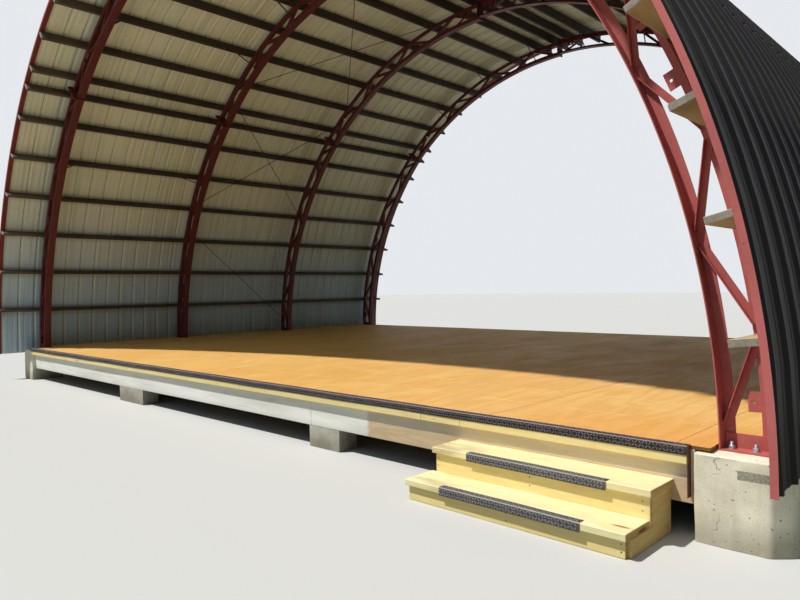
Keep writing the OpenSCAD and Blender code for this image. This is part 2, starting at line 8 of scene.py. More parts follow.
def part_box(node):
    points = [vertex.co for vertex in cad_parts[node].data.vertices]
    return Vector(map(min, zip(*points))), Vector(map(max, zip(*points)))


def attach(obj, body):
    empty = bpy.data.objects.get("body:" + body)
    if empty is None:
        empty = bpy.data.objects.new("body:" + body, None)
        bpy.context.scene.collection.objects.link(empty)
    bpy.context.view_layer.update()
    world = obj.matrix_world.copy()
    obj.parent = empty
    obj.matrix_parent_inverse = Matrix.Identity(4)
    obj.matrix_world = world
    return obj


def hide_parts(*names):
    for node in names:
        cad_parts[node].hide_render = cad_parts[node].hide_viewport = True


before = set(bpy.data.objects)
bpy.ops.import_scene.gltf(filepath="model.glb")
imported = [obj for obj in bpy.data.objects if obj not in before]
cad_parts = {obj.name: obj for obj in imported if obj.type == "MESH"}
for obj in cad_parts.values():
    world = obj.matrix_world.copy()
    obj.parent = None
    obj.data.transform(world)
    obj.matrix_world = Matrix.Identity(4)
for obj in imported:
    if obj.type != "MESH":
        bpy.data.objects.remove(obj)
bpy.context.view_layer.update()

# The view: a hand-held camera at eye height, in front of the right-hand end of the stage. A soft high sun
# from the front left lights the stage, and a sky that is bright high up and in front and dark low down and
# behind; the ground is plain and pale.
front_flange, bay = 0.085, 2.350
first_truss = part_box("truss_1_right_leg")[0].y + front_flange
truss_ys = first_truss + bay * np.arange(4)


def look(yaw, pitch, roll):
    """Matrix of a camera that is turned left from +Y by yaw, up by pitch and then about its own view line
    by roll."""
    ahead = Vector((-math.sin(yaw) * math.cos(pitch), math.cos(yaw) * math.cos(pitch), math.sin(pitch)))
    right = ahead.cross(Vector((0, 0, 1))).normalized()
    up = right.cross(ahead)
    x = right * math.cos(roll) + up * math.sin(roll)
    y = up * math.cos(roll) - right * math.sin(roll)
    return Matrix((x, y, -ahead)).transposed().to_4x4()


scene = bpy.context.scene
camera = bpy.data.objects.new("view_camera", bpy.data.cameras.new("view_camera"))
camera.data.lens = 30.16
camera.data.clip_end = 400
eye = (6.284, first_truss - 3.717, 1.322)
camera.matrix_world = Matrix.Translation(eye) @ look(yaw=0.76664, pitch=-0.01789, roll=-0.01651)
scene.collection.objects.link(camera)
bpy.context.scene.camera = camera

sun = bpy.data.objects.new("sun_lamp", bpy.data.lights.new("sun_lamp", "SUN"))
sun.data.energy = 3.9
sun.data.angle = math.radians(1.6)
sun.data.color = (1.0, 0.965, 0.91)
sun.rotation_mode = "QUATERNION"
sun.rotation_quaternion = Vector((-0.336, -0.386, 0.861)).to_track_quat("Z", "Y")
scene.collection.objects.link(sun)

scene.view_settings.view_transform = "Standard"
scene.world = bpy.data.worlds.new("sky")
scene.world.use_nodes = True


def rgb(red, green, blue):
    """Linear colour of three display values from 0 to 1, by the usual display curve."""
    c = np.array([red, green, blue], float)
    return (*np.where(c <= 0.04045, c / 12.92, ((c + 0.055) / 1.055) ** 2.4), 1.0)


class Nodes:
    """A node tree that grows step by step. Each step adds a node and gives back its output socket."""

    def __init__(self, tree):
        self.tree = tree

    def add(self, kind, settings=(), **values):
        """A node of a kind, with its settings, and with each input linked to a socket or set to a value."""
        node = self.tree.nodes.new(kind)
        for key, value in dict(settings).items():
            setattr(node, key, value)
        for key, value in values.items():
            socket = node.inputs[int(key[1:])] if key[0] == "i" and key[1:].isdigit() else node.inputs[key]
            if isinstance(value, bpy.types.NodeSocket):
                self.tree.links.new(value, socket)
            else:
                socket.default_value = value
        return node

    def sum(self, operation, a, b=0.0, c=0.0):
        """One step of arithmetic."""
        return self.add("ShaderNodeMath", {"operation": operation}, i0=a, i1=b, i2=c).outputs[0]

    def mix(self, share, a, b):
        """Colour a, blended with colour b by a share. A colour is a socket, three display values or four
        linear ones."""
        node = self.add("ShaderNodeMix", {"data_type": "RGBA"}, Factor=share)
        for key, value in (("A", a), ("B", b)):
            socket = [s for s in node.inputs if s.name == key and s.type == "RGBA"][0]
            if isinstance(value, bpy.types.NodeSocket):
                self.tree.links.new(value, socket)
            else:
                socket.default_value = value if len(value) == 4 else rgb(*value)
        return [s for s in node.outputs if s.type == "RGBA"][0]

    def seen(self):
        """1 for what the camera sees itself, mirrored or through glass, and 0 for light on the object."""
        path = self.add("ShaderNodeLightPath").outputs
        seen = self.sum("MAXIMUM", path["Is Camera Ray"], path["Is Glossy Ray"])
        return self.sum("MAXIMUM", seen, path["Is Transmission Ray"])


sky = Nodes(scene.world.node_tree)
sky_way = sky.add("ShaderNodeTexCoord").outputs["Generated"]
sky_rise = sky.add("ShaderNodeVectorMath", {"operation": "DOT_PRODUCT"}, i0=sky_way, i1=(0.0, -0.35, 1.0))
sky_share = sky.add("ShaderNodeMapRange", i0=sky_rise.outputs["Value"], i1=0.35, i2=0.95).outputs[0]
low_sky, high_sky = (0.10, 0.13, 0.11, 1), (0.66, 0.83, 1.0, 1)
sky_light = sky.tree.nodes["Background"]
sky_light.inputs["Strength"].default_value = 0.44
sky.tree.links.new(sky.mix(sky_share, low_sky, high_sky), sky_light.inputs["Color"])
sky_shown = sky.add("ShaderNodeBackground", Color=rgb(0.90, 0.915, 0.93))
sky_choice = sky.add("ShaderNodeMixShader", i0=sky.seen(), i1=sky_light.outputs[0], i2=sky_shown.outputs[0])
sky.tree.links.new(sky_choice.outputs[0], sky.tree.nodes["World Output"].inputs["Surface"])

ground_half, ground_z = 90, -0.002
ground_mesh = bpy.data.meshes.new("ground")
ground_mesh.from_pydata([
    (x * ground_half, y * ground_half, ground_z) for x, y in ((-1, -1), (1, -1), (1, 1), (-1, 1))
], [], [(0, 1, 2, 3)])
ground = bpy.data.objects.new("ground", ground_mesh)
scene.collection.objects.link(ground)
ground_finish = bpy.data.materials.new("pale_ground")
ground_finish.use_nodes = True
ground_look = Nodes(ground_finish.node_tree)
ground_shader = ground_look.tree.nodes["Principled BSDF"]
ground_shader.inputs["Roughness"].default_value = 0.95
ground_shader.inputs["Specular IOR Level"].default_value = 0.1
ground_colour = ground_look.mix(ground_look.seen(), (0.33, 0.34, 0.30, 1), (0.60, 0.60, 0.59, 1))
ground_look.tree.links.new(ground_colour, ground_shader.inputs["Base Color"])
ground_mesh.materials.append(ground_finish)


# Piers: cast concrete footings, one under each foot of a truss. The form boards left uneven faces and air
# holes, and the front right one has a strip of old form left in its face.
class Finish(Nodes):
    """The node tree of a new material, with the steps that the finishes are made of."""

    def __init__(self, name, roughness, metallic=0.0, specular=0.5):
        self.material = bpy.data.materials.new(name)
        self.material.use_nodes = True
        super().__init__(self.material.node_tree)
        self.shader = self.tree.nodes["Principled BSDF"]
        self.shader.inputs["Roughness"].default_value = roughness
        self.shader.inputs["Metallic"].default_value = metallic
        self.shader.inputs["Specular IOR Level"].default_value = specular
        self.place = self.add("ShaderNodeTexCoord").outputs["Object"]

    def stretch(self, *scale, place=None):
        """The place, multiplied by a scale on each axis."""
        return self.add("ShaderNodeMapping", Vector=place or self.place, Scale=scale).outputs[0]

    def noise(self, place, scale=1.0, detail=3.0, rough=0.5, bend=0.0):
        """Soft cloudy noise between 0 and 1."""
        return self.add("ShaderNodeTexNoise", Vector=place, Scale=scale, Detail=detail,
                        Roughness=rough, Distortion=bend).outputs["Fac"]

    def cells(self, place, scale=1.0, output="Distance", feature="F1"):
        """Distance to the nearest of scattered points, or the colour of its cell."""
        node = self.add("ShaderNodeTexVoronoi", {"feature": feature}, Vector=place, Scale=scale)
        return node.outputs[output]

    def step(self, value, low, high, to_low=0.0, to_high=1.0):
        """A smooth step: to_low up to low, to_high from high on."""
        node = self.add("ShaderNodeMapRange", {"interpolation_type": "SMOOTHSTEP"}, i0=value, i1=low, i2=high,
                        i3=to_low, i4=to_high)
        return node.outputs[0]

    def tint(self, base, value, low, high, share, colour):
        """The base, blended with a colour by a share that is 0 up to low and full from high on."""
        return self.mix(self.step(value, low, high, 0.0, share), base, colour)

    def axis(self, name, place=None):
        """One coordinate of the place."""
        return self.add("ShaderNodeSeparateXYZ", i0=place or self.place).outputs[name]

    def part(self, attribute):
        """A number that the mesh itself carries."""
        return self.add("ShaderNodeAttribute", {"attribute_name": attribute}).outputs["Fac"]

    def close(self, colour, roughness=None, height=None, depth=0.001):
        """Links the colour, and if given the roughness and a height in units of depth, to the shader."""
        self.tree.links.new(colour, self.shader.inputs["Base Color"])
        if roughness is not None:
            self.tree.links.new(roughness, self.shader.inputs["Roughness"])
        if height is not None:
            bump = self.add("ShaderNodeBump", Height=height, Distance=depth, Strength=1.0)
            self.tree.links.new(bump.outputs[0], self.shader.inputs["Normal"])
        return self.material


def concrete_finish(name, pale, dark):
    """Cement grey in soft patches, darker near the ground, with runs of dirt, sand grains and air holes."""
    f = Finish(name, 0.9, specular=0.3)
    patches = f.noise(f.place, 4.5, 6, 0.6)
    grains = f.noise(f.place, 160, 4, 0.7)
    holes = f.step(f.cells(f.place, 19), 0.04, 0.09)
    pores = f.step(f.noise(f.place, 75, 2, 0.4), 0.24, 0.32)
    swirl = f.add("ShaderNodeTexNoise", Vector=f.place, Scale=5.0, Detail=4.0).outputs["Color"]
    wander = f.add("ShaderNodeVectorMath", {"operation": "MULTIPLY_ADD"}, i0=swirl, i1=(0.3, 0.3, 0.3),
                   i2=f.place)
    lines = f.cells(f.stretch(1, 1, 0.35, place=wander.outputs[0]), 1.7, feature="DISTANCE_TO_EDGE")
    faint = f.step(f.noise(f.place, 3.0, 2), 0.54, 0.64)
    cracks = f.sum("MAXIMUM", f.step(lines, 0.0005, 0.0035, 0.35, 1.0), f.sum("SUBTRACT", 1.0, faint))
    runs = f.noise(f.stretch(16, 16, 1.2), 1, 4)
    colour = f.mix(f.step(patches, 0.35, 0.65), dark, pale)
    colour = f.tint(colour, runs, 0.5, 0.75, 0.16, (0.42, 0.38, 0.32))
    colour = f.mix(f.step(f.axis("Z"), 0.02, 0.20, 0.45, 0.0), colour, (0.46, 0.41, 0.33))
    colour = f.mix(f.step(grains, 0.3, 0.7, 0.16, 0.0), colour, (0.30, 0.28, 0.25))
    whole = f.sum("MULTIPLY", holes, f.sum("MULTIPLY", pores, cracks))
    colour = f.mix(whole, (0.44, 0.40, 0.34), colour)
    strip = f.sum("LESS_THAN", f.axis("Y"), first_truss - 0.19)
    for axis, low, high in (("X", 5.200, 5.346), ("Z", 0.358, 0.404)):
        ragged = f.sum("MULTIPLY_ADD", grains, 0.008, f.axis(axis))
        inside = f.sum("MULTIPLY", f.sum("GREATER_THAN", ragged, low), f.sum("LESS_THAN", ragged, high))
        strip = f.sum("MULTIPLY", strip, inside)
    strip = f.sum("MULTIPLY", strip, f.step(grains, 0.35, 0.6, 0.45, 0.95))
    colour = f.mix(strip, colour, (0.50, 0.48, 0.44))
    flaws = f.sum("ADD", f.sum("MULTIPLY", holes, pores), cracks)
    height = f.sum("ADD", f.sum("MULTIPLY", grains, 0.5), flaws)
    return f.close(colour, None, height, 0.0018)


def ripple(points, size, seed=0.0):
    """Smooth unevenness of points, from -1 to 1: three sums of sines at one size, turned against each
    other."""
    x, y, z = (points * (2 * math.pi / size)).T
    one = np.sin(x + 1.7 * np.sin(0.7 * y + seed) + 0.4 * z)
    two = np.sin(0.8 * y + 1.3 * np.sin(0.9 * z + 2 * seed) - 0.5 * x)
    three = np.sin(1.1 * z + 1.5 * np.sin(0.8 * x + 3 * seed) + 0.6 * y)
    return (one + two + three) / 3


def grid_faces(rows, columns, closed=True):
    """The four-cornered faces of a grid of points, row by row; closed joins each row's end to its start."""
    i, j = np.meshgrid(np.arange(rows - 1), np.arange(columns if closed else columns - 1), indexing="ij")
    after = (j + 1) % columns
    corners = [i * columns + j, i * columns + after, (i + 1) * columns + after, (i + 1) * columns + j]
    return np.stack(corners, -1).reshape(-1, 4)


def xyz(*parts):
    """Points or directions from their coordinates, each an array or one number for all."""
    return np.stack(np.broadcast_arrays(*parts), -1)


def carried(rings):
    """A closed outline carried along a path: rings is an array (stations, points, 3), and both ends are
    filled."""
    stations, count = rings.shape[:2]
    caps = [list(range(count))[::-1], list(range((stations - 1) * count, stations * count))]
    return rings.reshape(-1, 3), grid_faces(stations, count).tolist(), caps


def add_piece(name, shapes, finishes, nodes=(), smooth=None, numbers=None):
    """One mesh from several shapes, each (points, faces, end faces). The end faces take the second finish
    if there is one. numbers are values that the mesh carries at its points, by name."""
    points, faces, marks, start = [], [], [], 0
    for shape_points, sides, caps in shapes:
        points.append(shape_points)
        faces += [[v + start for v in face] for face in sides]
        marks += [0] * len(sides)
        faces += [[v + start for v in face] for face in caps]
        marks += [len(finishes) - 1] * len(caps)
        start += len(shape_points)
    mesh = bpy.data.meshes.new(name)
    mesh.from_pydata(np.concatenate(points).tolist(), [], faces)
    for finish in finishes:
        mesh.materials.append(finish)
    mesh.polygons.foreach_set("material_index", np.array(marks, np.int32))
    for key, values in (numbers or {}).items():
        mesh.attributes.new(key, "FLOAT", "POINT").data.foreach_set("value", np.asarray(values, np.float32))
    mesh.update()
    if smooth is not None:
        mesh.shade_smooth()
        mesh.set_sharp_from_angle(angle=math.radians(smooth))
    piece = bpy.data.objects.new(name, mesh)
    scene.collection.objects.link(piece)
    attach(piece, "root")
    if nodes:
        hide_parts(*nodes)
    return piece


def mirrored(shape):
    """The same shape on the left-hand side: X changes sign, and each face is turned round so that it still
    faces out."""
    points, sides, caps = shape
    return points * [-1, 1, 1], [f[::-1] for f in sides], [f[::-1] for f in caps]


pier_low, pier_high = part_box("right_piers")
pier_half, pier_cut, pier_round = 0.225, 0.095, 0.012


def pier(y, seed):
    """The plan of a pier, sampled evenly and rounded at its corners, carried up to the top edge and then
    drawn in over the top in shrinking rings; each point moves along the line from the middle by the
    ripple."""
    near, far, top = y - pier_half, y + pier_half, pier_high.z
    corners = np.array([
        [pier_low.x, near], [pier_high.x - pier_cut, near], [pier_high.x, near + pier_cut],
        [pier_high.x, far], [pier_low.x, far], [pier_low.x, near]
    ])
    reach = np.concatenate([[0], np.cumsum(np.hypot(*np.diff(corners, axis=0).T))])
    u = np.linspace(0, reach[-1], 144, endpoint=False)
    plan = np.stack([np.interp(u, reach, corners[:, 0]), np.interp(u, reach, corners[:, 1])], -1)
    for _ in range(3):
        plan = (np.roll(plan, 1, 0) + 2 * plan + np.roll(plan, -1, 0)) / 4
    middle = plan.mean(0)
    edge = top - pier_round * np.array([0.3, 0])
    levels = np.concatenate([np.linspace(0, top - pier_round, 18), edge, np.full(7, top)])
    shrink = np.concatenate([np.ones(18), [0.99, 0.96], [0.9, 0.8, 0.65, 0.5, 0.35, 0.2, 0.06]])
    rings = np.zeros((len(levels), len(u), 3))
    rings[..., :2] = middle + (plan - middle) * shrink[:, None, None]
    rings[..., 2] = levels[:, None]
    flat = rings.reshape(-1, 3)
    away = np.concatenate([flat[:, :2] - middle, np.zeros((len(flat), 1))], 1)
    away /= np.linalg.norm(away, axis=1, keepdims=True)
    rough = 0.003 * ripple(flat, 0.31, seed) + 0.0012 * ripple(flat, 0.07, seed) - 0.003
    side = (np.repeat(shrink, len(u)) > 0.995) * 1.0
    flat = flat + away * (rough * side)[:, None]
    flat[:, 2] += np.minimum(0.0012 * ripple(flat, 0.12, seed) - 0.0012, 0) * (flat[:, 2] > top - 0.02)
    return carried(flat.reshape(rings.shape))


concrete = concrete_finish("cast_concrete", (0.985, 0.955, 0.87), (0.91, 0.875, 0.78))
for side, seed in (("right", 0), ("left", 5)):
    piers = [pier(y, seed + 1.3 * k) for k, y in enumerate(truss_ys)]
    if side == "left":
        piers = [mirrored(shape) for shape in piers]
    add_piece(f"cast_piers_{side}", piers, [concrete], [f"{side}_piers"], 35)


# Support blocks: grey concrete blocks, cast in moulds. They lie on the ground under the joints of the joists
# and carry the frame of the stage.
def dress(finish, *nodes):
    """Gives solids that keep their shape a finish."""
    for node in nodes:
        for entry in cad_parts[node].material_slots:
            entry.material = finish


block_concrete = concrete_finish("block_concrete", (0.82, 0.80, 0.75), (0.68, 0.66, 0.61))
dress(block_concrete, "stage_blocks")


# Frame of the stage: sawn boards on edge. The front beam was painted white long ago and is weathered grey
# in its left-hand length, and the right-hand end is bare but for a thin wash of paint along its upper part.
def slab(outline, along, low, high, ease=0.004, bow=0.0, seed=0.0, steps=2):
    """A closed outline, counter-clockwise as seen from the far end, carried along an axis from low to high.
    Each corner is cut by ease, the end rings are drawn in by ease, and bow is how far the middle line
    wanders."""
    p = np.asarray(outline, float)
    back = np.roll(p, 1, 0) - p
    ahead = np.roll(p, -1, 0) - p
    cut = np.stack([
        p + ease * back / np.linalg.norm(back, axis=1, keepdims=True),
        p + ease * ahead / np.linalg.norm(ahead, axis=1, keepdims=True)
    ], 1).reshape(-1, 2)
    edge = np.roll(cut, -1, 0) - cut
    edge /= np.linalg.norm(edge, axis=1, keepdims=True)
    inward = np.stack([-edge[:, 1], edge[:, 0]], -1)
    inward = (inward + np.roll(inward, 1, 0)) / 2
    at = np.concatenate([[low], np.linspace(low + ease, high - ease, steps), [high]])
    drawn = np.zeros(len(at))
    drawn[[0, -1]] = ease
    across = cut[None] + inward[None] * drawn[:, None, None]
    wander = np.stack([np.sin(1.9 * at + seed), np.sin(1.3 * at + 2.2 * seed + 1)], -1) * bow
    across = across + wander[:, None]
    rings = np.zeros((len(at), len(cut), 3))
    rings[..., (along + 1) % 3] = across[..., 0]
    rings[..., (along + 2) % 3] = across[..., 1]
    rings[..., along] = at[:, None]
    return carried(rings)


def board(low, high, along, **more):
    """A board between two corners: its rectangle carried along one axis."""
    a, b = (along + 1) % 3, (along + 2) % 3
    outline = [(low[a], low[b]), (high[a], low[b]), (high[a], high[b]), (low[a], high[b])]
    return slab(outline, along, low[along], high[along], **more)


def timber(name, pale, dark, knot, along, roughness=0.65, knots=1.0, contrast=0.55):
    """Sawn wood: bands of the year rings drawn out along the board, fine fibres, and oval knots with darker
    rings."""
    f = Finish(name, roughness, specular=0.35)

    def drawn(lengthwise, across):
        """The place, with one scale along the board and another across it."""
        return f.stretch(*[lengthwise if k == along else across for k in range(3)])

    bands = f.noise(drawn(0.9, 9), 1.6, 5, 0.55, 0.8)
    rings = f.sum("PINGPONG", f.sum("MULTIPLY", bands, 9.0), 1.0)
    fibres = f.noise(drawn(5.5, 210), 1, 3, 0.6)
    spots = f.cells(drawn(1.1, 5.2), 1.35)
    heart = f.step(spots, 0.05 * knots, 0.085 * knots, 1.0, 0.0)
    halo = f.step(spots, 0.07 * knots, 0.16 * knots, 0.5, 0.0)
    colour = f.mix(f.sum("MULTIPLY", rings, contrast), pale, dark)
    colour = f.tint(colour, fibres, 0.35, 0.7, 0.38, dark)
    colour = f.mix(halo, colour, dark)
    colour = f.mix(heart, colour, knot)
    height = f.sum("ADD", f.sum("MULTIPLY", fibres, 0.7), f.sum("MULTIPLY", rings, 0.3))
    return f, colour, height


def plain_timber(name, pale, dark, knot, along, depth, **more):
    """Sawn wood with nothing over it, with its grain as a height of this depth."""
    f, wood, height = timber(name, pale, dark, knot, along, **more)
    return f.close(wood, None, height, depth)


edge_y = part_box("stage_nosing")[0].y
deck_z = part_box("plywood_floor")[1].z
beam_low, beam_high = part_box("front_beam")
beam_joint, rear_joint, butt_gap, bare_from = 1.814, -0.900, 0.002, 2.513

f, wood, height = timber("weathered_beam", (0.86, 0.76, 0.63), (0.74, 0.64, 0.50), (0.36, 0.27, 0.19), 0)
lengthwise = f.stretch(1.3, 30, 26)
flaking = f.noise(lengthwise, 1, 6, 0.65)
grime = f.noise(f.stretch(0.9, 5, 5), 1, 4)
white = f.mix(f.step(grime, 0.4, 0.72), (0.985, 0.98, 0.96), (0.89, 0.885, 0.86))
white = f.mix(f.step(f.axis("Z"), beam_low.z, beam_low.z + 0.06, 0.22, 0.0), white, (0.46, 0.44, 0.40))
weathered = f.mix(0.45, wood, (0.55, 0.53, 0.50))
painted = f.tint(white, flaking, 0.60, 0.68, 0.38, weathered)
ragged = f.sum("ADD", f.axis("X"), f.sum("MULTIPLY", flaking, 0.06))
washed = f.tint(wood, f.sum("MULTIPLY_ADD", flaking, 0.02, f.axis("Z")), 0.305, 0.315, 0.40, white)
aged = f.mix(f.step(ragged, bare_from + 0.01, bare_from + 0.05), painted, washed)
beam_wood = f.close(aged, None, f.sum("ADD", height, flaking), 0.0012)
add_piece("front_beam_boards", [
    board(beam_low, (beam_joint - butt_gap, *beam_high[1:]), 0, steps=30, bow=0.0015),
    board((beam_joint, *beam_low[1:]), beam_high, 0, steps=14, bow=0.0012, seed=2)
], [beam_wood], ["front_beam"], 25)

joist_wood = plain_timber("grey_joist_wood", (0.60, 0.56, 0.50), (0.44, 0.39, 0.33), (0.22, 0.17, 0.13), 0,
                          0.0008)
dress(joist_wood, "floor_joists", "side_beams")
rear_low, rear_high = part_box("rear_beam")
add_piece("rear_beam_boards", [
    board(rear_low, (rear_joint - butt_gap / 2, *rear_high[1:]), 0, steps=16, bow=0.001, seed=1),
    board((rear_joint + butt_gap / 2, *rear_low[1:]), rear_high, 0, steps=18, bow=0.001, seed=4)
], [joist_wood], ["rear_beam"], 25)


# Stage floor: plywood sheets, screwed to the joists and brushed with an orange stain. Each sheet was peeled
# from another log, so its wavy figure and its tone differ from its neighbour's.
f = Finish("stained_plywood", 0.6, specular=0.12)
sheet_w, sheet_l, joist_pitch = 1.219, 2.438, 0.6095
x, y = f.axis("X"), f.axis("Y")
column = f.sum("FLOOR", f.sum("DIVIDE", x, sheet_w))
odd = f.sum("ABSOLUTE", f.sum("MODULO", f.sum("ADD", column, 5), 2))
from_edge = f.sum("SUBTRACT", y, edge_y)
down = f.sum("SUBTRACT", from_edge, f.sum("MULTIPLY", odd, -sheet_l / 2))
row = f.sum("FLOOR", f.sum("DIVIDE", down, sheet_l))
own = f.add("ShaderNodeCombineXYZ", X=column, Y=row)
luck = f.add("ShaderNodeTexWhiteNoise", Vector=own.outputs[0])
jump = f.add("ShaderNodeVectorMath", {"operation": "SCALE"}, i0=luck.outputs["Color"], Scale=30)
moved = f.add("ShaderNodeVectorMath", {"operation": "ADD"}, i0=f.place, i1=jump.outputs[0]).outputs[0]
waves = f.noise(f.stretch(2.6, 0.42, 1, place=moved), 1.0, 3, 0.5, 0.35)
rings = f.sum("PINGPONG", f.sum("MULTIPLY", waves, 17), 1.0)
fibres = f.noise(f.stretch(230, 5, 1, place=moved), 1, 3, 0.6)
clouds = f.noise(f.place, 0.9, 5, 0.6)
worn = f.noise(f.stretch(3.5, 1.6, 1), 1, 6, 0.7)
scratch = f.noise(f.stretch(1.1, 38, 1), 1, 5, 0.75)
light, mid, deep = (0.92, 0.75, 0.47), (0.90, 0.71, 0.42), (0.80, 0.59, 0.30)
stain = f.mix(f.step(clouds, 0.32, 0.68), light, mid)
stain = f.tint(stain, rings, 0.15, 0.95, 0.36, deep)
stain = f.tint(stain, fibres, 0.4, 0.70, 0.50, deep)
stain = f.tint(stain, luck.outputs["Value"], 0.0, 1.0, 0.16, deep)
stain = f.tint(stain, worn, 0.58, 0.72, 0.35, (0.95, 0.80, 0.50))
stain = f.tint(stain, scratch, 0.61, 0.69, 0.60, (0.97, 0.86, 0.60))
front = f.step(y, edge_y + 0.25, edge_y + 1.1, 1.0, 0.0)
corner = f.sum("MULTIPLY", f.step(x, 3.3, 4.9), front)
stain = f.mix(f.sum("MULTIPLY", corner, 0.40), stain, (0.86, 0.54, 0.17))
in_pitches = f.sum("ADD", f.sum("DIVIDE", from_edge, joist_pitch), 0.5)
screw_line = f.sum("ABSOLUTE", f.sum("SUBTRACT", f.sum("FRACT", in_pitches), 0.5))
broken = f.step(f.noise(f.stretch(2.4, 0.7, 1), 1, 4, 0.7), 0.42, 0.58)
swept = f.sum("MULTIPLY", broken, f.step(screw_line, 0.004, 0.014, 0.55, 0.0))
stain = f.mix(swept, stain, (0.98, 0.88, 0.62))
upright = f.axis("Z", f.add("ShaderNodeNewGeometry").outputs["Normal"])
plies = f.sum("PINGPONG", f.sum("MULTIPLY", f.axis("Z"), 330), 1.0)
edge_colour = f.mix(f.step(plies, 0.3, 0.7), (0.56, 0.41, 0.24), (0.38, 0.26, 0.14))
colour = f.mix(f.step(upright, 0.3, 0.7), edge_colour, stain)
gloss = f.step(worn, 0.3, 0.7, 0.52, 0.7)
height = f.sum("ADD", f.sum("MULTIPLY", fibres, 0.5), f.sum("MULTIPLY", rings, 0.5))
plywood = f.close(colour, gloss, height, 0.0006)
dress(plywood, "plywood_floor")


def turned(profile, sides):
    """A profile of (radius, height) pairs turned about Z, with this many sides; both ends are filled."""
    profile = np.asarray(profile, float)
    a = 2 * math.pi * np.arange(sides) / sides
    return carried(xyz(profile[:, :1] * np.cos(a), profile[:, :1] * np.sin(a), profile[:, 1:]))


def repeated(shape, places, axes, spins=None):
    """The same shape at many places: its Z turned onto each place's axis, its X towards each spin, or any
    way across."""
    points, sides, caps = shape
    places, axes = np.asarray(places, float), np.broadcast_to(np.asarray(axes, float), np.shape(places))
    axes = axes / np.linalg.norm(axes, axis=1, keepdims=True)
    if spins is None:
        spins = np.where(np.abs(axes[:, 2:]) > 0.9, [[1.0, 0, 0]], [[0, 0, 1.0]])
    across = spins - axes * (spins * axes).sum(1, keepdims=True)
    across /= np.linalg.norm(across, axis=1, keepdims=True)
    base = np.stack([across, np.cross(axes, across), axes], 1)
    moved = places[:, None] + np.einsum("pk,nkc->npc", points, base)
    start = (np.arange(len(places)) * len(points))[:, None, None]

    def spread(faces):
        """The faces of the one shape, numbered on for every place."""
        sizes = sorted({len(face) for face in faces})
        return [f for n in sizes for f in
                (np.array([face for face in faces if len(face) == n])[None] + start).reshape(-1, n).tolist()]

    return moved.reshape(-1, 3), spread(sides), spread(caps)


f = Finish("screw_zinc", 0.45, metallic=0.8)
dull = f.noise(f.place, 60, 3)
screw_zinc = f.close(f.mix(dull, (0.50, 0.46, 0.38), (0.30, 0.27, 0.22)))
screw_head = turned([(0.0044, -0.001), (0.0044, 0.0), (0.0026, 0.0004), (0.0016, -0.0003)], 8)
screw_pitch, deck_half, front_half = 0.305, 5.03, 5.00
rows = edge_y + joist_pitch * np.arange(1, 12)
columns = np.arange(-5.30, 5.31, screw_pitch) + 0.03
gx, gy = np.meshgrid(columns, rows)
at = xyz(gx, gy + 0.006 * np.sin(17 * gx), deck_z).reshape(-1, 3)
front_row = xyz(columns, edge_y + 0.075, deck_z)
at = np.concatenate([at[np.abs(at[:, 0]) < deck_half], front_row[np.abs(front_row[:, 0]) < front_half]])
add_piece("floor_screws", [repeated(screw_head, at, (0, 0, 1))], [screw_zinc], smooth=40)


# Fascia: short lengths of new yellow pine, planed and sawn square, under the edge of the plywood. They are
# screwed to the front beam.
fascia_low, fascia_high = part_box("fascia_strip")
fascia_gap, fascia_screw_z = 0.0008, fascia_low.z + 0.022
fascia_joints = [fascia_low.x, -2.63, -0.20, 3.10, 3.45, fascia_high.x]
f, wood, height = timber("yellow_pine", (0.98, 0.91, 0.66), (0.91, 0.79, 0.50), (0.56, 0.36, 0.18), 0,
                         roughness=0.55, contrast=0.4)
dusty = f.noise(f.stretch(3, 9, 9), 1, 5, 0.6)
wood = f.tint(wood, dusty, 0.55, 0.78, 0.35, (0.75, 0.62, 0.42))
pine = f.close(wood, None, height, 0.0006)
pine_end = plain_timber("pine_end_grain", (0.86, 0.72, 0.46), (0.70, 0.54, 0.31), (0.45, 0.30, 0.17), 1,
                        0.0008, contrast=0.7)
add_piece("fascia_boards", [
    board((a + fascia_gap, *fascia_low[1:]), (b - fascia_gap, *fascia_high[1:]), 0, ease=0.0025, steps=12,
          bow=0.0006, seed=a)
    for a, b in zip(fascia_joints, fascia_joints[1:])
], [pine, pine_end], ["fascia_strip"], 25)
screw_xs = np.concatenate([np.arange(-4.9, 4.8, 0.406), np.array(fascia_joints[1:-1]) + 0.03])
fascia_screws = repeated(screw_head, xyz(screw_xs, fascia_low.y, fascia_screw_z), (0, -1, 0))


# Nosings: angles folded from dark checkered plate, screwed on the front edges of the stage and the treads.
# The fold is round, and the raised lozenges stand crosswise in turn.
def folded_angle(x0, x1, y, z, leg, t, bend=0.009):
    """An angle with a round fold: the outer line runs down the back edge of the top, round the fold and
    down the front, and the inner line runs back; this closed outline is carried along X."""
    turn = np.linspace(math.pi / 2, math.pi, 7)
    outer = np.stack([y + bend + bend * np.cos(turn), z - bend + bend * np.sin(turn)], -1)
    inner_r = max(bend - t, 0.002)
    inner = np.stack([y + bend + inner_r * np.cos(turn[::-1]), z - bend + inner_r * np.sin(turn[::-1])], -1)
    outline = np.concatenate([
        [(y + leg, z - t), (y + leg, z)], outer, [(y, z - leg), (y + t, z - leg)], inner
    ])
    at = np.linspace(x0, x1, max(2, int((x1 - x0) / 0.25)))
    rings = np.zeros((len(at), len(outline), 3))
    rings[..., 0] = at[:, None]
    rings[..., 1:] = outline[None] + 0.0007 * np.sin(5 * at)[:, None, None]
    return carried(rings)


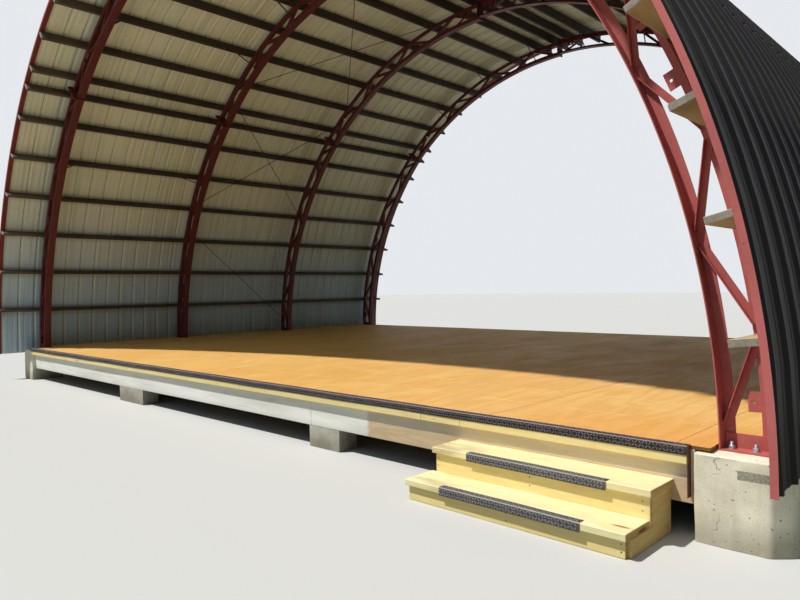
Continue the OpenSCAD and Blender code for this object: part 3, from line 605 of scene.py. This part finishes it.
def lozenges(x0, x1, y, z, pitch=0.0190):
    """Raised lozenges in two rows on the top and two on the front, each a pointed oval drawn in to a flat
    top."""
    a = 2 * math.pi * np.arange(8) / 8
    oval = xyz(0.0130 * np.cos(a), 0.0042 * np.sin(a), 0)
    base, top = oval, oval * [0.8, 0.55, 0] + [0, 0, 0.0018]
    shape = carried(np.stack([base, top]))
    xs = np.arange(x0 + pitch / 2, x1 - 0.010, pitch)
    n = np.arange(len(xs))
    shapes = []
    for k, off in enumerate((0.015, 0.036)):
        lean = np.where((n + k) % 2 == 0, 0.8, -0.8)
        c, s = np.cos(lean), np.sin(lean)
        shapes.append(repeated(shape, xyz(xs, y + off, z), (0, 0, 1), xyz(c, s, 0)))
        shapes.append(repeated(shape, xyz(xs, y, z - off), (0, -1, 0), xyz(c, 0, s)))
    return shapes


def plate_finish(name, base, worn_colour, worn_and_lit_fold, folds, roughness):
    """Painted or mill plate: dark in the hollows, with a dusty film and rust specks. Along each fold it is
    worn bright and carries a painted highlight. folds gives the (y, z) of each fold's outer corner."""
    f = Finish(name, roughness, metallic=0.1, specular=0.2)
    rub = f.noise(f.stretch(6, 40, 40), 1, 5, 0.65)
    overlay = f.noise(f.place, 14, 5, 0.6)
    specks = f.noise(f.place, 240, 2)
    colour = f.tint(base, rub, 0.45, 0.7, 0.7, worn_colour)
    colour = f.tint(colour, overlay, 0.5, 0.75, 0.4, (0.50, 0.45, 0.38))
    colour = f.tint(colour, specks, 0.68, 0.75, 0.5, (0.36, 0.22, 0.14))
    for corner_y, corner_z in folds:
        reach = f.sum("ADD", f.sum("ABSOLUTE", f.sum("SUBTRACT", f.axis("Y"), corner_y)),
                      f.sum("ABSOLUTE", f.sum("SUBTRACT", f.axis("Z"), corner_z)))
        # Wear and a painted highlight: a bright band along each fold.
        colour = f.mix(f.step(reach, 0.004, 0.008, 0.75, 0.0), colour, worn_and_lit_fold)
    return f.close(colour, f.step(rub, 0.3, 0.7, roughness + 0.1, roughness - 0.08), specks, 0.0003)


nosing_low, nosing_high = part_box("stage_nosing")
tread_low, tread_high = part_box("step_treads")
plate_t, nosing_leg, tread_going, step_drop = 0.004, 0.050, 0.240, 0.160
upper_front, upper_z, lower_z = tread_low.y + tread_going, tread_high.z, tread_high.z - step_drop
# The fold colours below stand for wear and a painted highlight together.
folds, worn_and_lit_fold_colour = [(nosing_low.y, nosing_high.z)], (0.70, 0.61, 0.63)
dark_plate = plate_finish("dark_checkered_plate", (0.17, 0.155, 0.165), (0.25, 0.23, 0.24), worn_and_lit_fold_colour, folds,
                          0.55)
# Lozenge tops lighter than the plate: partly wear, partly a painted highlight.
dark_tops = plate_finish("dark_plate_tops", (0.50, 0.48, 0.50), (0.62, 0.59, 0.62), worn_and_lit_fold_colour, folds, 0.45)
folds = [(tread_low.y - plate_t, lower_z + plate_t), (upper_front - plate_t, upper_z + plate_t)]
worn_and_lit_fold_colour = (0.76, 0.73, 0.70)
grey_plate = plate_finish("grey_checkered_plate", (0.31, 0.305, 0.31), (0.41, 0.405, 0.41), worn_and_lit_fold_colour, folds,
                          0.55)
# Lozenge tops lighter than the plate: partly wear, partly a painted highlight.
grey_tops = plate_finish("grey_plate_tops", (0.62, 0.61, 0.62), (0.72, 0.71, 0.72), worn_and_lit_fold_colour, folds, 0.45)
add_piece("stage_nosing_angle", [
    folded_angle(nosing_low.x, nosing_high.x, nosing_low.y, nosing_high.z, nosing_leg, plate_t),
    *lozenges(nosing_low.x, nosing_high.x, nosing_low.y, nosing_high.z)
], [dark_plate, dark_tops], ["stage_nosing"], 35)


# Corner strip: a rusty flat bar of steel, nailed over the right-hand end of the fascia, where it covers the
# sawn end of the board.
def rusty_finish(name, base, rust):
    """Rusted steel: brown scale in patches over a darker base, rough all over."""
    f = Finish(name, 0.8, metallic=0.15)
    scale = f.noise(f.place, 30, 6, 0.7)
    grit = f.noise(f.place, 300, 3)
    colour = f.mix(f.step(scale, 0.35, 0.65), base, rust)
    colour = f.tint(colour, grit, 0.4, 0.7, 0.4, (0.16, 0.10, 0.08))
    return f.close(colour, None, f.sum("ADD", scale, grit), 0.0008)


old_rust = rusty_finish("rusty_bar_steel", (0.30, 0.20, 0.15), (0.48, 0.30, 0.20))
strip_low, strip_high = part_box("corner_strip")
add_piece("corner_bar", [board(strip_low, strip_high, 2, ease=0.0012, steps=8, bow=0.0005)], [old_rust],
          ["corner_strip"], 25)


# Steps: two pine treads with eased edges on risers, closed by three cheeks. The boards are sawn square and
# nailed together.
board_t, riser_t, riser_in, lower_shift, end_lip = 0.038, 0.025, 0.025, 0.020, 0.015
riser_front, riser_back = upper_front + riser_in, upper_front + riser_in + riser_t
upper_left, upper_right = tread_low.x + lower_shift + end_lip, tread_high.x - end_lip
f, wood, height = timber("tread_pine", (0.98, 0.95, 0.76), (0.92, 0.84, 0.60), (0.56, 0.40, 0.23), 0,
                         roughness=0.5, contrast=0.38)
sandy = f.noise(f.stretch(2.6, 9, 9), 1, 5, 0.6)
left_end = f.step(f.axis("X"), tread_low.x, tread_low.x + 0.55, 1.0, 0.0)
wood = f.mix(f.sum("MULTIPLY", f.step(sandy, 0.42, 0.62), f.sum("MULTIPLY_ADD", left_end, 0.45, 0.12)), wood,
             (0.62, 0.50, 0.36))
tread_pine = f.close(wood, None, height, 0.0006)
add_piece("tread_boards", [
    board((tread_low.x + lower_shift, upper_front, upper_z - board_t), (*tread_high[:2], upper_z), 0,
          ease=0.003, steps=16, bow=0.0009),
    board((*tread_low[:2], lower_z - board_t), (tread_high.x - lower_shift, riser_front, lower_z), 0,
          ease=0.003, steps=16, bow=0.0009, seed=3)
], [tread_pine, pine_end], ["step_treads"], 25)
riser_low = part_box("step_risers")[0]
add_piece("riser_boards", [
    board((upper_left, riser_front, lower_z - board_t), (upper_right, riser_back, upper_z - board_t), 0,
          ease=0.002, steps=12, bow=0.0006),
    board((*riser_low[:2], 0.0), (upper_right - lower_shift, riser_low.y + riser_t, lower_z - board_t), 0,
          ease=0.002, steps=12, bow=0.0006, seed=5)
], [pine, pine_end], ["step_risers"], 25)
cheek_low, cheek_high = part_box("step_cheeks")
cheek_plan = [
    (cheek_low.y, 0.0), (cheek_high.y, 0.0), (cheek_high.y, cheek_high.z), (riser_back, cheek_high.z),
    (riser_back, lower_z - board_t), (cheek_low.y, lower_z - board_t)
]
cheek_pine = plain_timber("cheek_pine", (0.90, 0.79, 0.52), (0.80, 0.65, 0.38), (0.45, 0.30, 0.17), 1,
                          0.0007, contrast=0.5)
add_piece("cheek_boards", [
    slab(cheek_plan, 0, x, x + board_t, ease=0.002)
    for x in np.linspace(cheek_low.x, cheek_high.x - board_t, 3)
], [cheek_pine], ["step_cheeks"], 25)
step_left, step_right = (corner.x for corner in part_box("step_nosings"))
step_angles = []
for a, b, front_y, top in ((step_left + lower_shift, step_right, upper_front, upper_z),
                           (step_left, step_right - lower_shift, tread_low.y, lower_z)):
    step_angles.append(folded_angle(a, b, front_y - plate_t, top + plate_t, nosing_leg, plate_t))
    step_angles += lozenges(a, b, front_y - plate_t, top + plate_t)
add_piece("tread_nosing_angles", step_angles, [grey_plate, grey_tops],
          ["step_nosings"], 35)
nail_xs = np.array([upper_left + 0.02, (upper_left + upper_right) / 2, upper_right - 0.04])
nails = [(x, y, z) for x in nail_xs for y, z in (
    (upper_front + 0.08, upper_z), (upper_front + 0.2, upper_z),
    (tread_low.y + 0.08, lower_z), (tread_low.y + 0.19, lower_z)
)]
faces = [(x, y, z) for x in nail_xs for y, z in (
    (riser_front, lower_z + 0.04), (riser_front, lower_z + 0.09), (riser_low.y, 0.03), (riser_low.y, 0.07)
)]
add_piece("step_and_fascia_screws", [
    fascia_screws, repeated(screw_head, nails, (0, 0, 1)), repeated(screw_head, faces, (0, -1, 0))
], [screw_zinc], smooth=40)


# Base angles and anchor bolts: angle iron on each pier, held down by two galvanised studs cast into the
# concrete, each with a washer and a hexagonal nut with rounded corners.
def red_paint(name, fresh, sunlit_chalky, sunlit_fade):
    """Old red oxide paint. A share turns it paler and chalkier from the middle towards the right-hand
    front, where the sun fades it; in part this is a painted sunlight. Runs, dirt and pin-holes of rust
    lie over it."""
    f = Finish(name, 0.55, specular=0.35)
    clouds = f.noise(f.place, 2.3, 5, 0.6)
    fine = f.noise(f.place, 55, 4, 0.6)
    rusting = f.noise(f.place, 21, 6, 0.72)
    right = f.step(f.axis("X"), -1.0, 4.6)
    near = f.step(f.axis("Y"), first_truss + 0.1, first_truss + 0.9, 1.0, 0.12)
    # Partly painted sunlight: paler and chalkier towards the right-hand front, where the sun falls.
    pale = f.sum("MULTIPLY", f.sum("MULTIPLY", right, near), sunlit_fade)
    colour = f.mix(pale, fresh, sunlit_chalky)
    colour = f.tint(colour, clouds, 0.4, 0.7, 0.25, (0.36, 0.12, 0.10))
    colour = f.tint(colour, fine, 0.5, 0.75, 0.22, (0.80, 0.52, 0.48))
    colour = f.tint(colour, rusting, 0.64, 0.70, 0.75, (0.30, 0.14, 0.09))
    rough = f.step(clouds, 0.3, 0.7, 0.48, 0.66)
    height = f.sum("ADD", f.sum("MULTIPLY", fine, 0.4), f.step(rusting, 0.62, 0.7, 1.0, 0.0))
    return f.close(colour, rough, height, 0.0005)


red_steel = red_paint("red_oxide_paint", (0.36, 0.125, 0.11), (0.75, 0.39, 0.375), 0.95)
dress(red_steel, "base_angles")


def galvanised(name, pale, dark):
    """Zinc coat: small flat-toned crystals, dulled by white bloom."""
    f = Finish(name, 0.45, metallic=0.75)
    crystals = f.axis("X", f.cells(f.place, 130, "Color"))
    tone = f.sum("FRACT", f.sum("MULTIPLY", crystals, 3))
    bloom = f.noise(f.place, 30, 5)
    colour = f.mix(tone, pale, dark)
    colour = f.tint(colour, bloom, 0.5, 0.75, 0.4, (0.70, 0.71, 0.72))
    return f.close(colour, f.step(bloom, 0.3, 0.7, 0.38, 0.6), tone, 0.0002)


zinc = galvanised("galvanised_bolts", (0.80, 0.82, 0.86), (0.62, 0.65, 0.70))
stud_r, pitch = 0.0095, 0.0025


def hex_nut(flats, height, z=0.0):
    """A hexagon with its corners rounded off towards both faces: twelve sides, every second one drawn in."""
    points, sides, caps = turned([
        (flats * 0.50, z), (flats * 0.56, z + 0.06 * height), (flats * 0.577, z + 0.16 * height),
        (flats * 0.577, z + 0.84 * height), (flats * 0.56, z + 0.94 * height), (flats * 0.50, z + height)
    ], 12)
    a = np.arctan2(points[:, 1], points[:, 0])
    reach = flats / 2 / np.cos((a + math.pi / 6) % (math.pi / 3) - math.pi / 6)
    r = np.hypot(points[:, 0], points[:, 1])
    points[:, :2] *= (np.minimum(r, reach) / r)[:, None]
    return points, sides, caps


def thread(radius, low, high, pitch):
    """A threaded stud: the radius goes in and out once each pitch, and the tip is cut back."""
    z = np.arange(low, high - 0.001, pitch / 2)
    r = radius - 0.0011 * (np.arange(len(z)) % 2)
    return turned(np.concatenate([np.stack([r, z], -1), [(radius - 0.0014, high)]]), 12)


base_t, anchor_mid, anchor_half, anchor_in = 0.008, 5.1725, 0.058, 0.040
anchor_at = np.array([(s * (anchor_mid + d * anchor_half), y - s * anchor_in, pier_high.z + base_t)
                      for s in (-1, 1) for d in (-1, 1) for y in truss_ys])
turns = xyz(np.cos(anchor_at[:, 1]), np.sin(anchor_at[:, 1]), 0)
washer = turned([(0.0185, 0.0), (0.0198, 0.0006), (0.0198, 0.0024), (0.0188, 0.003), (0.0105, 0.003)], 20)
add_piece("anchor_studs_and_nuts", [
    repeated(washer, anchor_at, (0, 0, 1)),
    repeated(hex_nut(0.0285, 0.016, 0.003), anchor_at, (0, 0, 1), turns),
    repeated(thread(stud_r, -0.006, 0.0375, pitch), anchor_at, (0, 0, 1))
], [zinc], ["anchor_bolts"], 40)


# Arch trusses: each has four welded lengths of rolled angle with a zigzag of lighter angle, bolted together
# through end plates and painted red oxide. Weld beads show where the web meets the chords.
arch_r, outer_r, centre_z = 5.065, 5.310, 0.395
leg_nodes, crown_nodes = (1.708, 5.7705, 45.658), (46.858, 5.3178, 89.4)
inner_in, outer_in = 0.026, 0.0319
for number in range(1, 5):
    for segment in ("right_leg", "right_crown", "left_crown", "left_leg"):
        dress(red_steel, f"truss_{number}_{segment}")


def on_arch(points, angle):
    """Turns points given as (outwards, along the building, along the arch) to their angle over the arch's
    centre."""
    c, s = math.cos(math.radians(angle)), math.sin(math.radians(angle))
    out, along, up = np.asarray(points, float).T
    return xyz(out * c - up * s, along, centre_z + out * s + up * c)


def web_ends():
    """Both ends of each web angle in one quarter, and its direction, in the plane of the arch: nodes lie at
    even steps of angle from a start up to a last one, on the inner and the outer chord in turn."""
    found = []
    for start, step, last in (leg_nodes, crown_nodes):
        n = np.arange(0, 8, 2)
        for a, b in ((n + 0.07, n + 0.93), (n + 1.93, n + 1.07)):
            ta, tb = (np.radians(np.minimum(start + step * v, last)) for v in (a, b))
            pa = (arch_r + inner_in) * np.stack([np.cos(ta), np.sin(ta)], -1)
            pb = (outer_r - outer_in) * np.stack([np.cos(tb), np.sin(tb)], -1)
            line = (pb - pa) / np.linalg.norm(pb - pa, axis=1, keepdims=True)
            found.append((np.concatenate([pa, pb]), np.concatenate([-line, line])))
    return np.concatenate([p for p, d in found]), np.concatenate([d for p, d in found])


ends, lines = web_ends()
bead_r, bead_l = 0.0045, 0.042
s = np.linspace(0, 1, 7)
swell = np.sqrt(np.clip(1 - (2 * s - 1) ** 4, 0.04, 1)) * (1 + 0.16 * np.sin(23 * s))
bead = turned(np.stack([bead_r * swell, bead_l * (s - 0.5)], -1), 5)
short_bead = (bead[0] * [1, 1, 0.75], bead[1], bead[2])
for number, y in enumerate(truss_ys, 1):
    beads = []
    for side in (1, -1):
        at = xyz(side * ends[:, 0], y - side * 0.002, centre_z + ends[:, 1])
        along = xyz(side * lines[:, 0], 0, lines[:, 1])
        across = xyz(-along[:, 2], 0, along[:, 0])
        beads.append(repeated(bead, at + along * 0.001, across))
        beads += [repeated(short_bead, at + k * 0.0195 * across - along * 0.020, along) for k in (1, -1)]
    add_piece(f"truss_{number}_weld_beads", beads, [red_steel], smooth=60)

bolt_head, bolt_nut = hex_nut(0.024, 0.010), hex_nut(0.024, 0.013)
bolt_end = thread(0.0078, 0.012, 0.020, 0.002)
plate_washer = turned([(0.0148, 0.0), (0.0152, 0.0005), (0.0152, 0.0022), (0.0145, 0.0027)], 14)
splice, bolt_in, plate_half, washer_lift = 46.258, 0.085, 0.010, 0.0025
splice_bolts = []
for angle in (splice, 90.0, 180 - splice):
    c, s = math.cos(math.radians(angle)), math.sin(math.radians(angle))
    way = np.array([-s, 0, c])
    spots = np.array([(r, y + d, plate_half) for y in truss_ys for d in (-0.050, 0.045)
                      for r in (arch_r + bolt_in, outer_r - bolt_in)])
    low, high = on_arch(spots * [1, 1, -1], angle), on_arch(spots, angle)
    splice_bolts += [
        repeated(plate_washer, high, way), repeated(bolt_head, high + washer_lift * way, way),
        repeated(plate_washer, low, -way), repeated(bolt_nut, low - washer_lift * way, -way),
        repeated(bolt_end, low, -way)
    ]
add_piece("splice_bolts", splice_bolts, [red_steel], smooth=40)


# Purlins: rough boards on edge across the outer chords, grey on their sawn ends. Inside the vault they are
# dark brown as a painted shade, and gold-toned where the right-hand ends reach out in front, a painted
# light thrown up from the sunlit ground.
left_wall_angles = np.append(7.258 + 6.46 * np.arange(6), 44.708)
right_wall_angles = np.concatenate([7.088 + 6.05 * np.arange(4), 25.238 + 6.49 * np.arange(1, 4)])
roof_angles = np.concatenate([[47.808], 53.458 + 6.2484 * np.arange(6), [88.45]])
purlin_low, purlin_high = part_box("right_wall_purlins")
purlin_d, purlin_half = 0.140, 0.019


def purlin(angle, left=False):
    """A board along Y on the arch at an angle: its rectangle of radius and arc, with eased edges, a slight
    bow, and the whole turned to its place."""
    low, high = (outer_r, purlin_low.y, -purlin_half), (outer_r + purlin_d, purlin_high.y, purlin_half)
    points, sides, caps = board(low, high, 1, ease=0.0035, steps=24, bow=0.0012, seed=angle)
    points[:, 0] = np.maximum(points[:, 0], outer_r)
    return on_arch(points, 180 - angle if left else angle), sides, caps


def purlin_finish(name, lit_front_share):
    """Old rough board, dark brown as a painted shade inside the vault; a share says how far the front part
    takes a gold colour, a painted light thrown up from the sunlit ground."""
    # Painted shade: the board's browns are kept dark for the shade inside the vault.
    f, wood, height = timber(name, (0.30, 0.25, 0.21), (0.19, 0.155, 0.13), (0.10, 0.07, 0.06), 1, knots=1.2)
    # Painted light: a gold colour for the light thrown up onto the front ends.
    painted_lit_colour = f.mix(f.noise(f.stretch(9, 0.9, 9), 1.6, 4), (0.90, 0.80, 0.63), (0.64, 0.52, 0.37))
    near = f.step(f.axis("Y"), first_truss - 0.35, first_truss + 0.25, lit_front_share, 0.0)
    colour = f.mix(near, wood, f.mix(0.8, wood, painted_lit_colour))
    soot = f.noise(f.stretch(5, 1.2, 5), 1, 5)
    colour = f.tint(colour, soot, 0.45, 0.75, 0.5, (0.18, 0.13, 0.10))
    return f.close(colour, None, height, 0.001)


sawn_end = plain_timber("grey_sawn_ends", (0.64, 0.61, 0.56), (0.45, 0.42, 0.38), (0.25, 0.22, 0.20), 1,
                        0.0012)
# Painted light and painted shade: lit front ends on the right, shaded boards on the left.
lit_purlin, shaded_purlin = purlin_finish("painted_light_purlin_wood", 1.0), purlin_finish("painted_shade_purlin_wood", 0.15)
for side, part, angles in (("right", "wall", right_wall_angles), ("right", "roof", roof_angles),
                           ("left", "roof", roof_angles), ("left", "wall", left_wall_angles)):
    wood = lit_purlin if side == "right" else shaded_purlin
    boards = [purlin(a, side == "left") for a in angles]
    add_piece(f"{side}_{part}_boards", boards, [wood, sawn_end],
              [f"{side}_{part}_purlins"], 25)


# Flange braces and bracing rods: flat straps from the inner chords to the purlins, and round rods crossed
# in the middle bay, each threaded at its ends and held by a nut behind the washer on its lug.
dress(red_steel, "flange_braces")
rod_steel = rusty_finish("brown_rod_steel", (0.14, 0.09, 0.08), (0.24, 0.13, 0.10))
dress(rod_steel, "bracing_rods")
lug_r, lug_t, rod_washer_t = 5.217, 0.008, 0.010
rod_ends = [(a, way) for a in (27.618, 51.219, 53.027, 87.592) for way in (-1, 1)]
rod_ends += [(23.059, -1), (3.438, 1)]
rod_ends += [(180 - a, way) for a, way in rod_ends]


def washer_face(angle, way):
    """Outer face of the washer at a rod's end: in front of the second truss or behind the third, at an
    angle on the arch, and one lug's thickness further forward in the left half."""
    y = truss_ys[1] - rod_washer_t if way < 0 else truss_ys[2] + lug_t + rod_washer_t
    return on_arch([(lug_r, y - lug_t * (angle > 90), 0.0)], angle)


lug_at = np.concatenate([washer_face(a, way) for a, way in rod_ends])
lug_axes = xyz(0, np.array([way for a, way in rod_ends]), 0)
add_piece("rod_nuts", [
    repeated(hex_nut(0.017, 0.009), lug_at, lug_axes),
    repeated(thread(0.0048, 0.008, 0.022, 0.0016), lug_at, lug_axes)
], [rod_steel], smooth=40)


# Sheeting: ribbed steel roof sheets laid round the arch, bronze outside and off-white inside, each sheet
# with a high rib every 229 mm and two low ones between, screwed through the flats to each purlin.
sheet_r, sheet_t, rib_h, low_rib_h, rib_pitch = 5.4503, 0.002, 0.019, 0.0032, 0.229
sheet_low, sheet_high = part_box("right_lower_sheeting")
sheet_length = sheet_high.y - sheet_low.y
rib_count = int((sheet_length - 0.048) / rib_pitch)
rib_lead = (sheet_length - rib_count * rib_pitch) / 2
high_ribs = sheet_low.y + rib_lead + rib_pitch * np.arange(rib_count + 1)


def sheet_line():
    """The cross line of the sheeting along Y as (height, y): a trapezium at each high rib and two low ones
    between."""
    high = np.array([(0, -0.024), (rib_h, -0.010), (rib_h, 0.010), (0, 0.024)])
    low = np.array([(0, -0.012), (low_rib_h, -0.006), (low_rib_h, 0.006), (0, 0.012)])
    between = high_ribs[:-1, None] + rib_pitch * np.array([1, 2]) / 3
    centres = np.concatenate([high_ribs, between.ravel()])
    shapes = np.concatenate([np.repeat(high[None], len(high_ribs), 0), np.repeat(low[None], between.size, 0)])
    shapes[:, :, 1] += centres[:, None]
    line = shapes.reshape(-1, 2)
    line = np.concatenate([[[0, sheet_low.y]], line, [[0, sheet_high.y]]])
    return line[np.argsort(line[:, 1], kind="stable")]


def outside_finish():
    """Dark bronze factory paint, chalked in runs down the slope, with a faint olive and purple cast.
    The bronze is as dark as the sheets look in shade, partly a painted shade; from 4.3 m up, a pale
    reddish brown along the runs is a painted sunlight.
    """
    f = Finish("bronze_sheet_paint", 0.55, specular=0.10)
    way = f.add("ShaderNodeUVMap", {"uv_map": "metres"}).outputs[0]
    runs = f.noise(f.stretch(26, 0.6, 1, place=way), 1, 5, 0.6)
    cast = f.noise(f.stretch(1.4, 0.5, 1, place=way), 1, 3)
    # Partly a painted shade: the bronze is as dark as it looks in shade.
    colour = f.mix(f.step(cast, 0.35, 0.65), (0.160, 0.155, 0.150), (0.165, 0.150, 0.165))
    colour = f.tint(colour, runs, 0.45, 0.75, 0.30, (0.24, 0.22, 0.21))
    # Painted sunlight: from 4.3 m up the paint turns a pale reddish brown along the runs.
    painted_sunlit_top = f.sum("MULTIPLY", f.step(f.axis("Z"), 4.3, 5.0), f.step(runs, 0.3, 0.6, 0.6, 1.0))
    colour = f.mix(painted_sunlit_top, colour, (0.52, 0.38, 0.34))
    rough = f.step(runs, 0.3, 0.7, 0.50, 0.64)
    return f.close(colour, rough, f.noise(f.place, 90, 2), 0.0001)


def inside_finish():
    """Off-white backing paint, painted khaki towards the top and bluish low down for the warm light from the
    floor and the cool light from the sky. A painted shade lies as a dark line in the near side of each
    rib's groove and a painted highlight as a pale line on its far side; a painted shade lies as a dark
    bluish band over each purlin, and a short stain hangs under it."""
    f = Finish("off_white_sheet_paint", 0.5, specular=0.3)
    way = f.add("ShaderNodeUVMap", {"uv_map": "metres"}).outputs[0]
    along = f.sum("DIVIDE", f.sum("SUBTRACT", f.axis("X", way), float(high_ribs[0])), rib_pitch)
    off_rib = f.sum("SUBTRACT", f.sum("FRACT", f.sum("ADD", along, 5.5)), 0.5)
    # Painted shade and highlight: a dark line in the near side of each rib's groove, a pale one on the far
    # side.
    rib_shade_line = f.step(f.sum("ABSOLUTE", f.sum("ADD", off_rib, 0.075)), 0.020, 0.040, 0.75, 0.0)
    rib_highlight_line = f.step(f.sum("ABSOLUTE", f.sum("SUBTRACT", off_rib, 0.075)), 0.020, 0.045, 0.70, 0.0)
    runs = f.noise(f.stretch(17, 0.5, 1, place=way), 1, 4, 0.55)
    patches = f.noise(f.stretch(0.8, 0.8, 1, place=way), 1, 5, 0.6)
    fine = f.noise(f.stretch(60, 9, 1, place=way), 1, 4, 0.7)
    # Painted light: bluish low down for the cool sky light, khaki high up for the warm light from the floor.
    base = f.mix(f.step(f.axis("Z"), 0.8, 3.4), (0.77, 0.88, 1.0), (0.97, 0.965, 0.86))
    base = f.tint(base, patches, 0.4, 0.7, 0.20, (0.74, 0.76, 0.68))
    base = f.tint(base, runs, 0.45, 0.70, 0.30, (0.60, 0.62, 0.56))
    base = f.tint(base, fine, 0.55, 0.75, 0.22, (0.52, 0.54, 0.50))
    base = f.mix(rib_shade_line, base, (0.25, 0.26, 0.25))
    base = f.mix(rib_highlight_line, base, (1.0, 1.0, 0.93))
    hanging = f.sum("MULTIPLY", f.part("under_purlin"), f.step(fine, 0.35, 0.6, 0.1, 0.6))
    base = f.mix(hanging, base, (0.62, 0.57, 0.30))
    # Painted shade: a dark bluish band on the sheet just over each purlin.
    base = f.mix(f.sum("MULTIPLY", f.part("shade_over_purlin"), 0.25), base, (0.20, 0.23, 0.27))
    return f.close(base, None, runs, 0.0001)


bronze, off_white = outside_finish(), inside_finish()
purlin_angles = np.concatenate([right_wall_angles, roof_angles, 180 - left_wall_angles, 180 - roof_angles])


def sheeting(name, start, end):
    """The cross line carried round the arch: radius plus height at each angle, with a sheet's thickness
    inwards. The rows lie close under and over each purlin and once between, and carry how near they are
    to it from below and above."""
    line = sheet_line()
    up = 1 if end <= 90 else -1
    angles = (purlin_angles[:, None] + up * np.array([-1.3, -0.25, 0.25, 0.75, 3.2])).ravel()
    angles = np.sort(np.concatenate([[start], angles[(angles > start + 0.1) & (angles < end - 0.1)], [end]]))
    angles = angles[np.append(True, np.diff(angles) > 0.04)]
    a = np.radians(angles)[:, None]
    r = sheet_r + sheet_t + line[None, :, 0]
    points = xyz(r * np.cos(a), line[None, :, 1], centre_z + r * np.sin(a)).reshape(-1, 3)
    faces = grid_faces(len(angles), len(line), closed=False)
    above = up * (angles[:, None] - purlin_angles[None])
    over = np.where(above > -0.3, np.clip(1 - (above - 0.25) / 0.5, 0, 1), 0).max(1)
    under = np.where(above < 0.3, np.clip(1 + (above + 0.25) / 1.05, 0, 1), 0).max(1)
    # These marks are a painted shade over each purlin and a stain under it.
    overlay = {"shade_over_purlin": np.repeat(over, len(line)), "under_purlin": np.repeat(under, len(line))}
    piece = add_piece(name, [(points, faces.tolist(), [])], [bronze, off_white],
                      [name], 20, overlay)
    mesh = piece.data
    corner = np.empty(len(mesh.loops), np.int32)
    mesh.loops.foreach_get("vertex_index", corner)
    flat = np.stack([points[:, 1], np.repeat(np.radians(angles), len(line)) * sheet_r], -1)
    mesh.uv_layers.new(name="metres").data.foreach_set("uv", flat[corner].ravel().astype(np.float32))
    skin = piece.modifiers.new("sheet_thickness", "SOLIDIFY")
    skin.thickness, skin.offset = sheet_t, -1
    skin.material_offset, skin.material_offset_rim = 1, 0


right_joint, left_joint, roof_joint = right_wall_angles[4], 180 - left_wall_angles[4], roof_angles[2]
for name, start, end in (
    ("right_lower", 0, right_joint), ("right_middle", right_joint, roof_joint),
    ("right_upper", roof_joint, 90), ("left_upper", 90, 180 - roof_joint),
    ("left_middle", 180 - roof_joint, left_joint), ("left_lower", left_joint, 180)
):
    sheeting(name + "_sheeting", start, end)

roof_screw = turned([
    (0.0085, 0.0), (0.0085, 0.0014), (0.0046, 0.0020), (0.0046, 0.0060), (0.0036, 0.0068)
], 6)
flats = high_ribs[:-1] + 0.042
heads = xyz(sheet_r + sheet_t, flats, 0)
spots = np.concatenate([on_arch(heads, a) for a in purlin_angles])
outward = np.radians(np.repeat(purlin_angles, len(flats)))
add_piece("roof_screws", [repeated(roof_screw, spots, xyz(np.cos(outward), 0, np.sin(outward)))], [bronze],
          smooth=30)


# Edge trims: an angle of thin steel, bent to the arch and painted red. One covers the sheets' edge at either
# end of the vault and is screwed on.
trim_paint = red_paint("trim_red_paint", (0.50, 0.18, 0.155), (0.79, 0.43, 0.42), 0.9)
dress(trim_paint, "edge_trims")
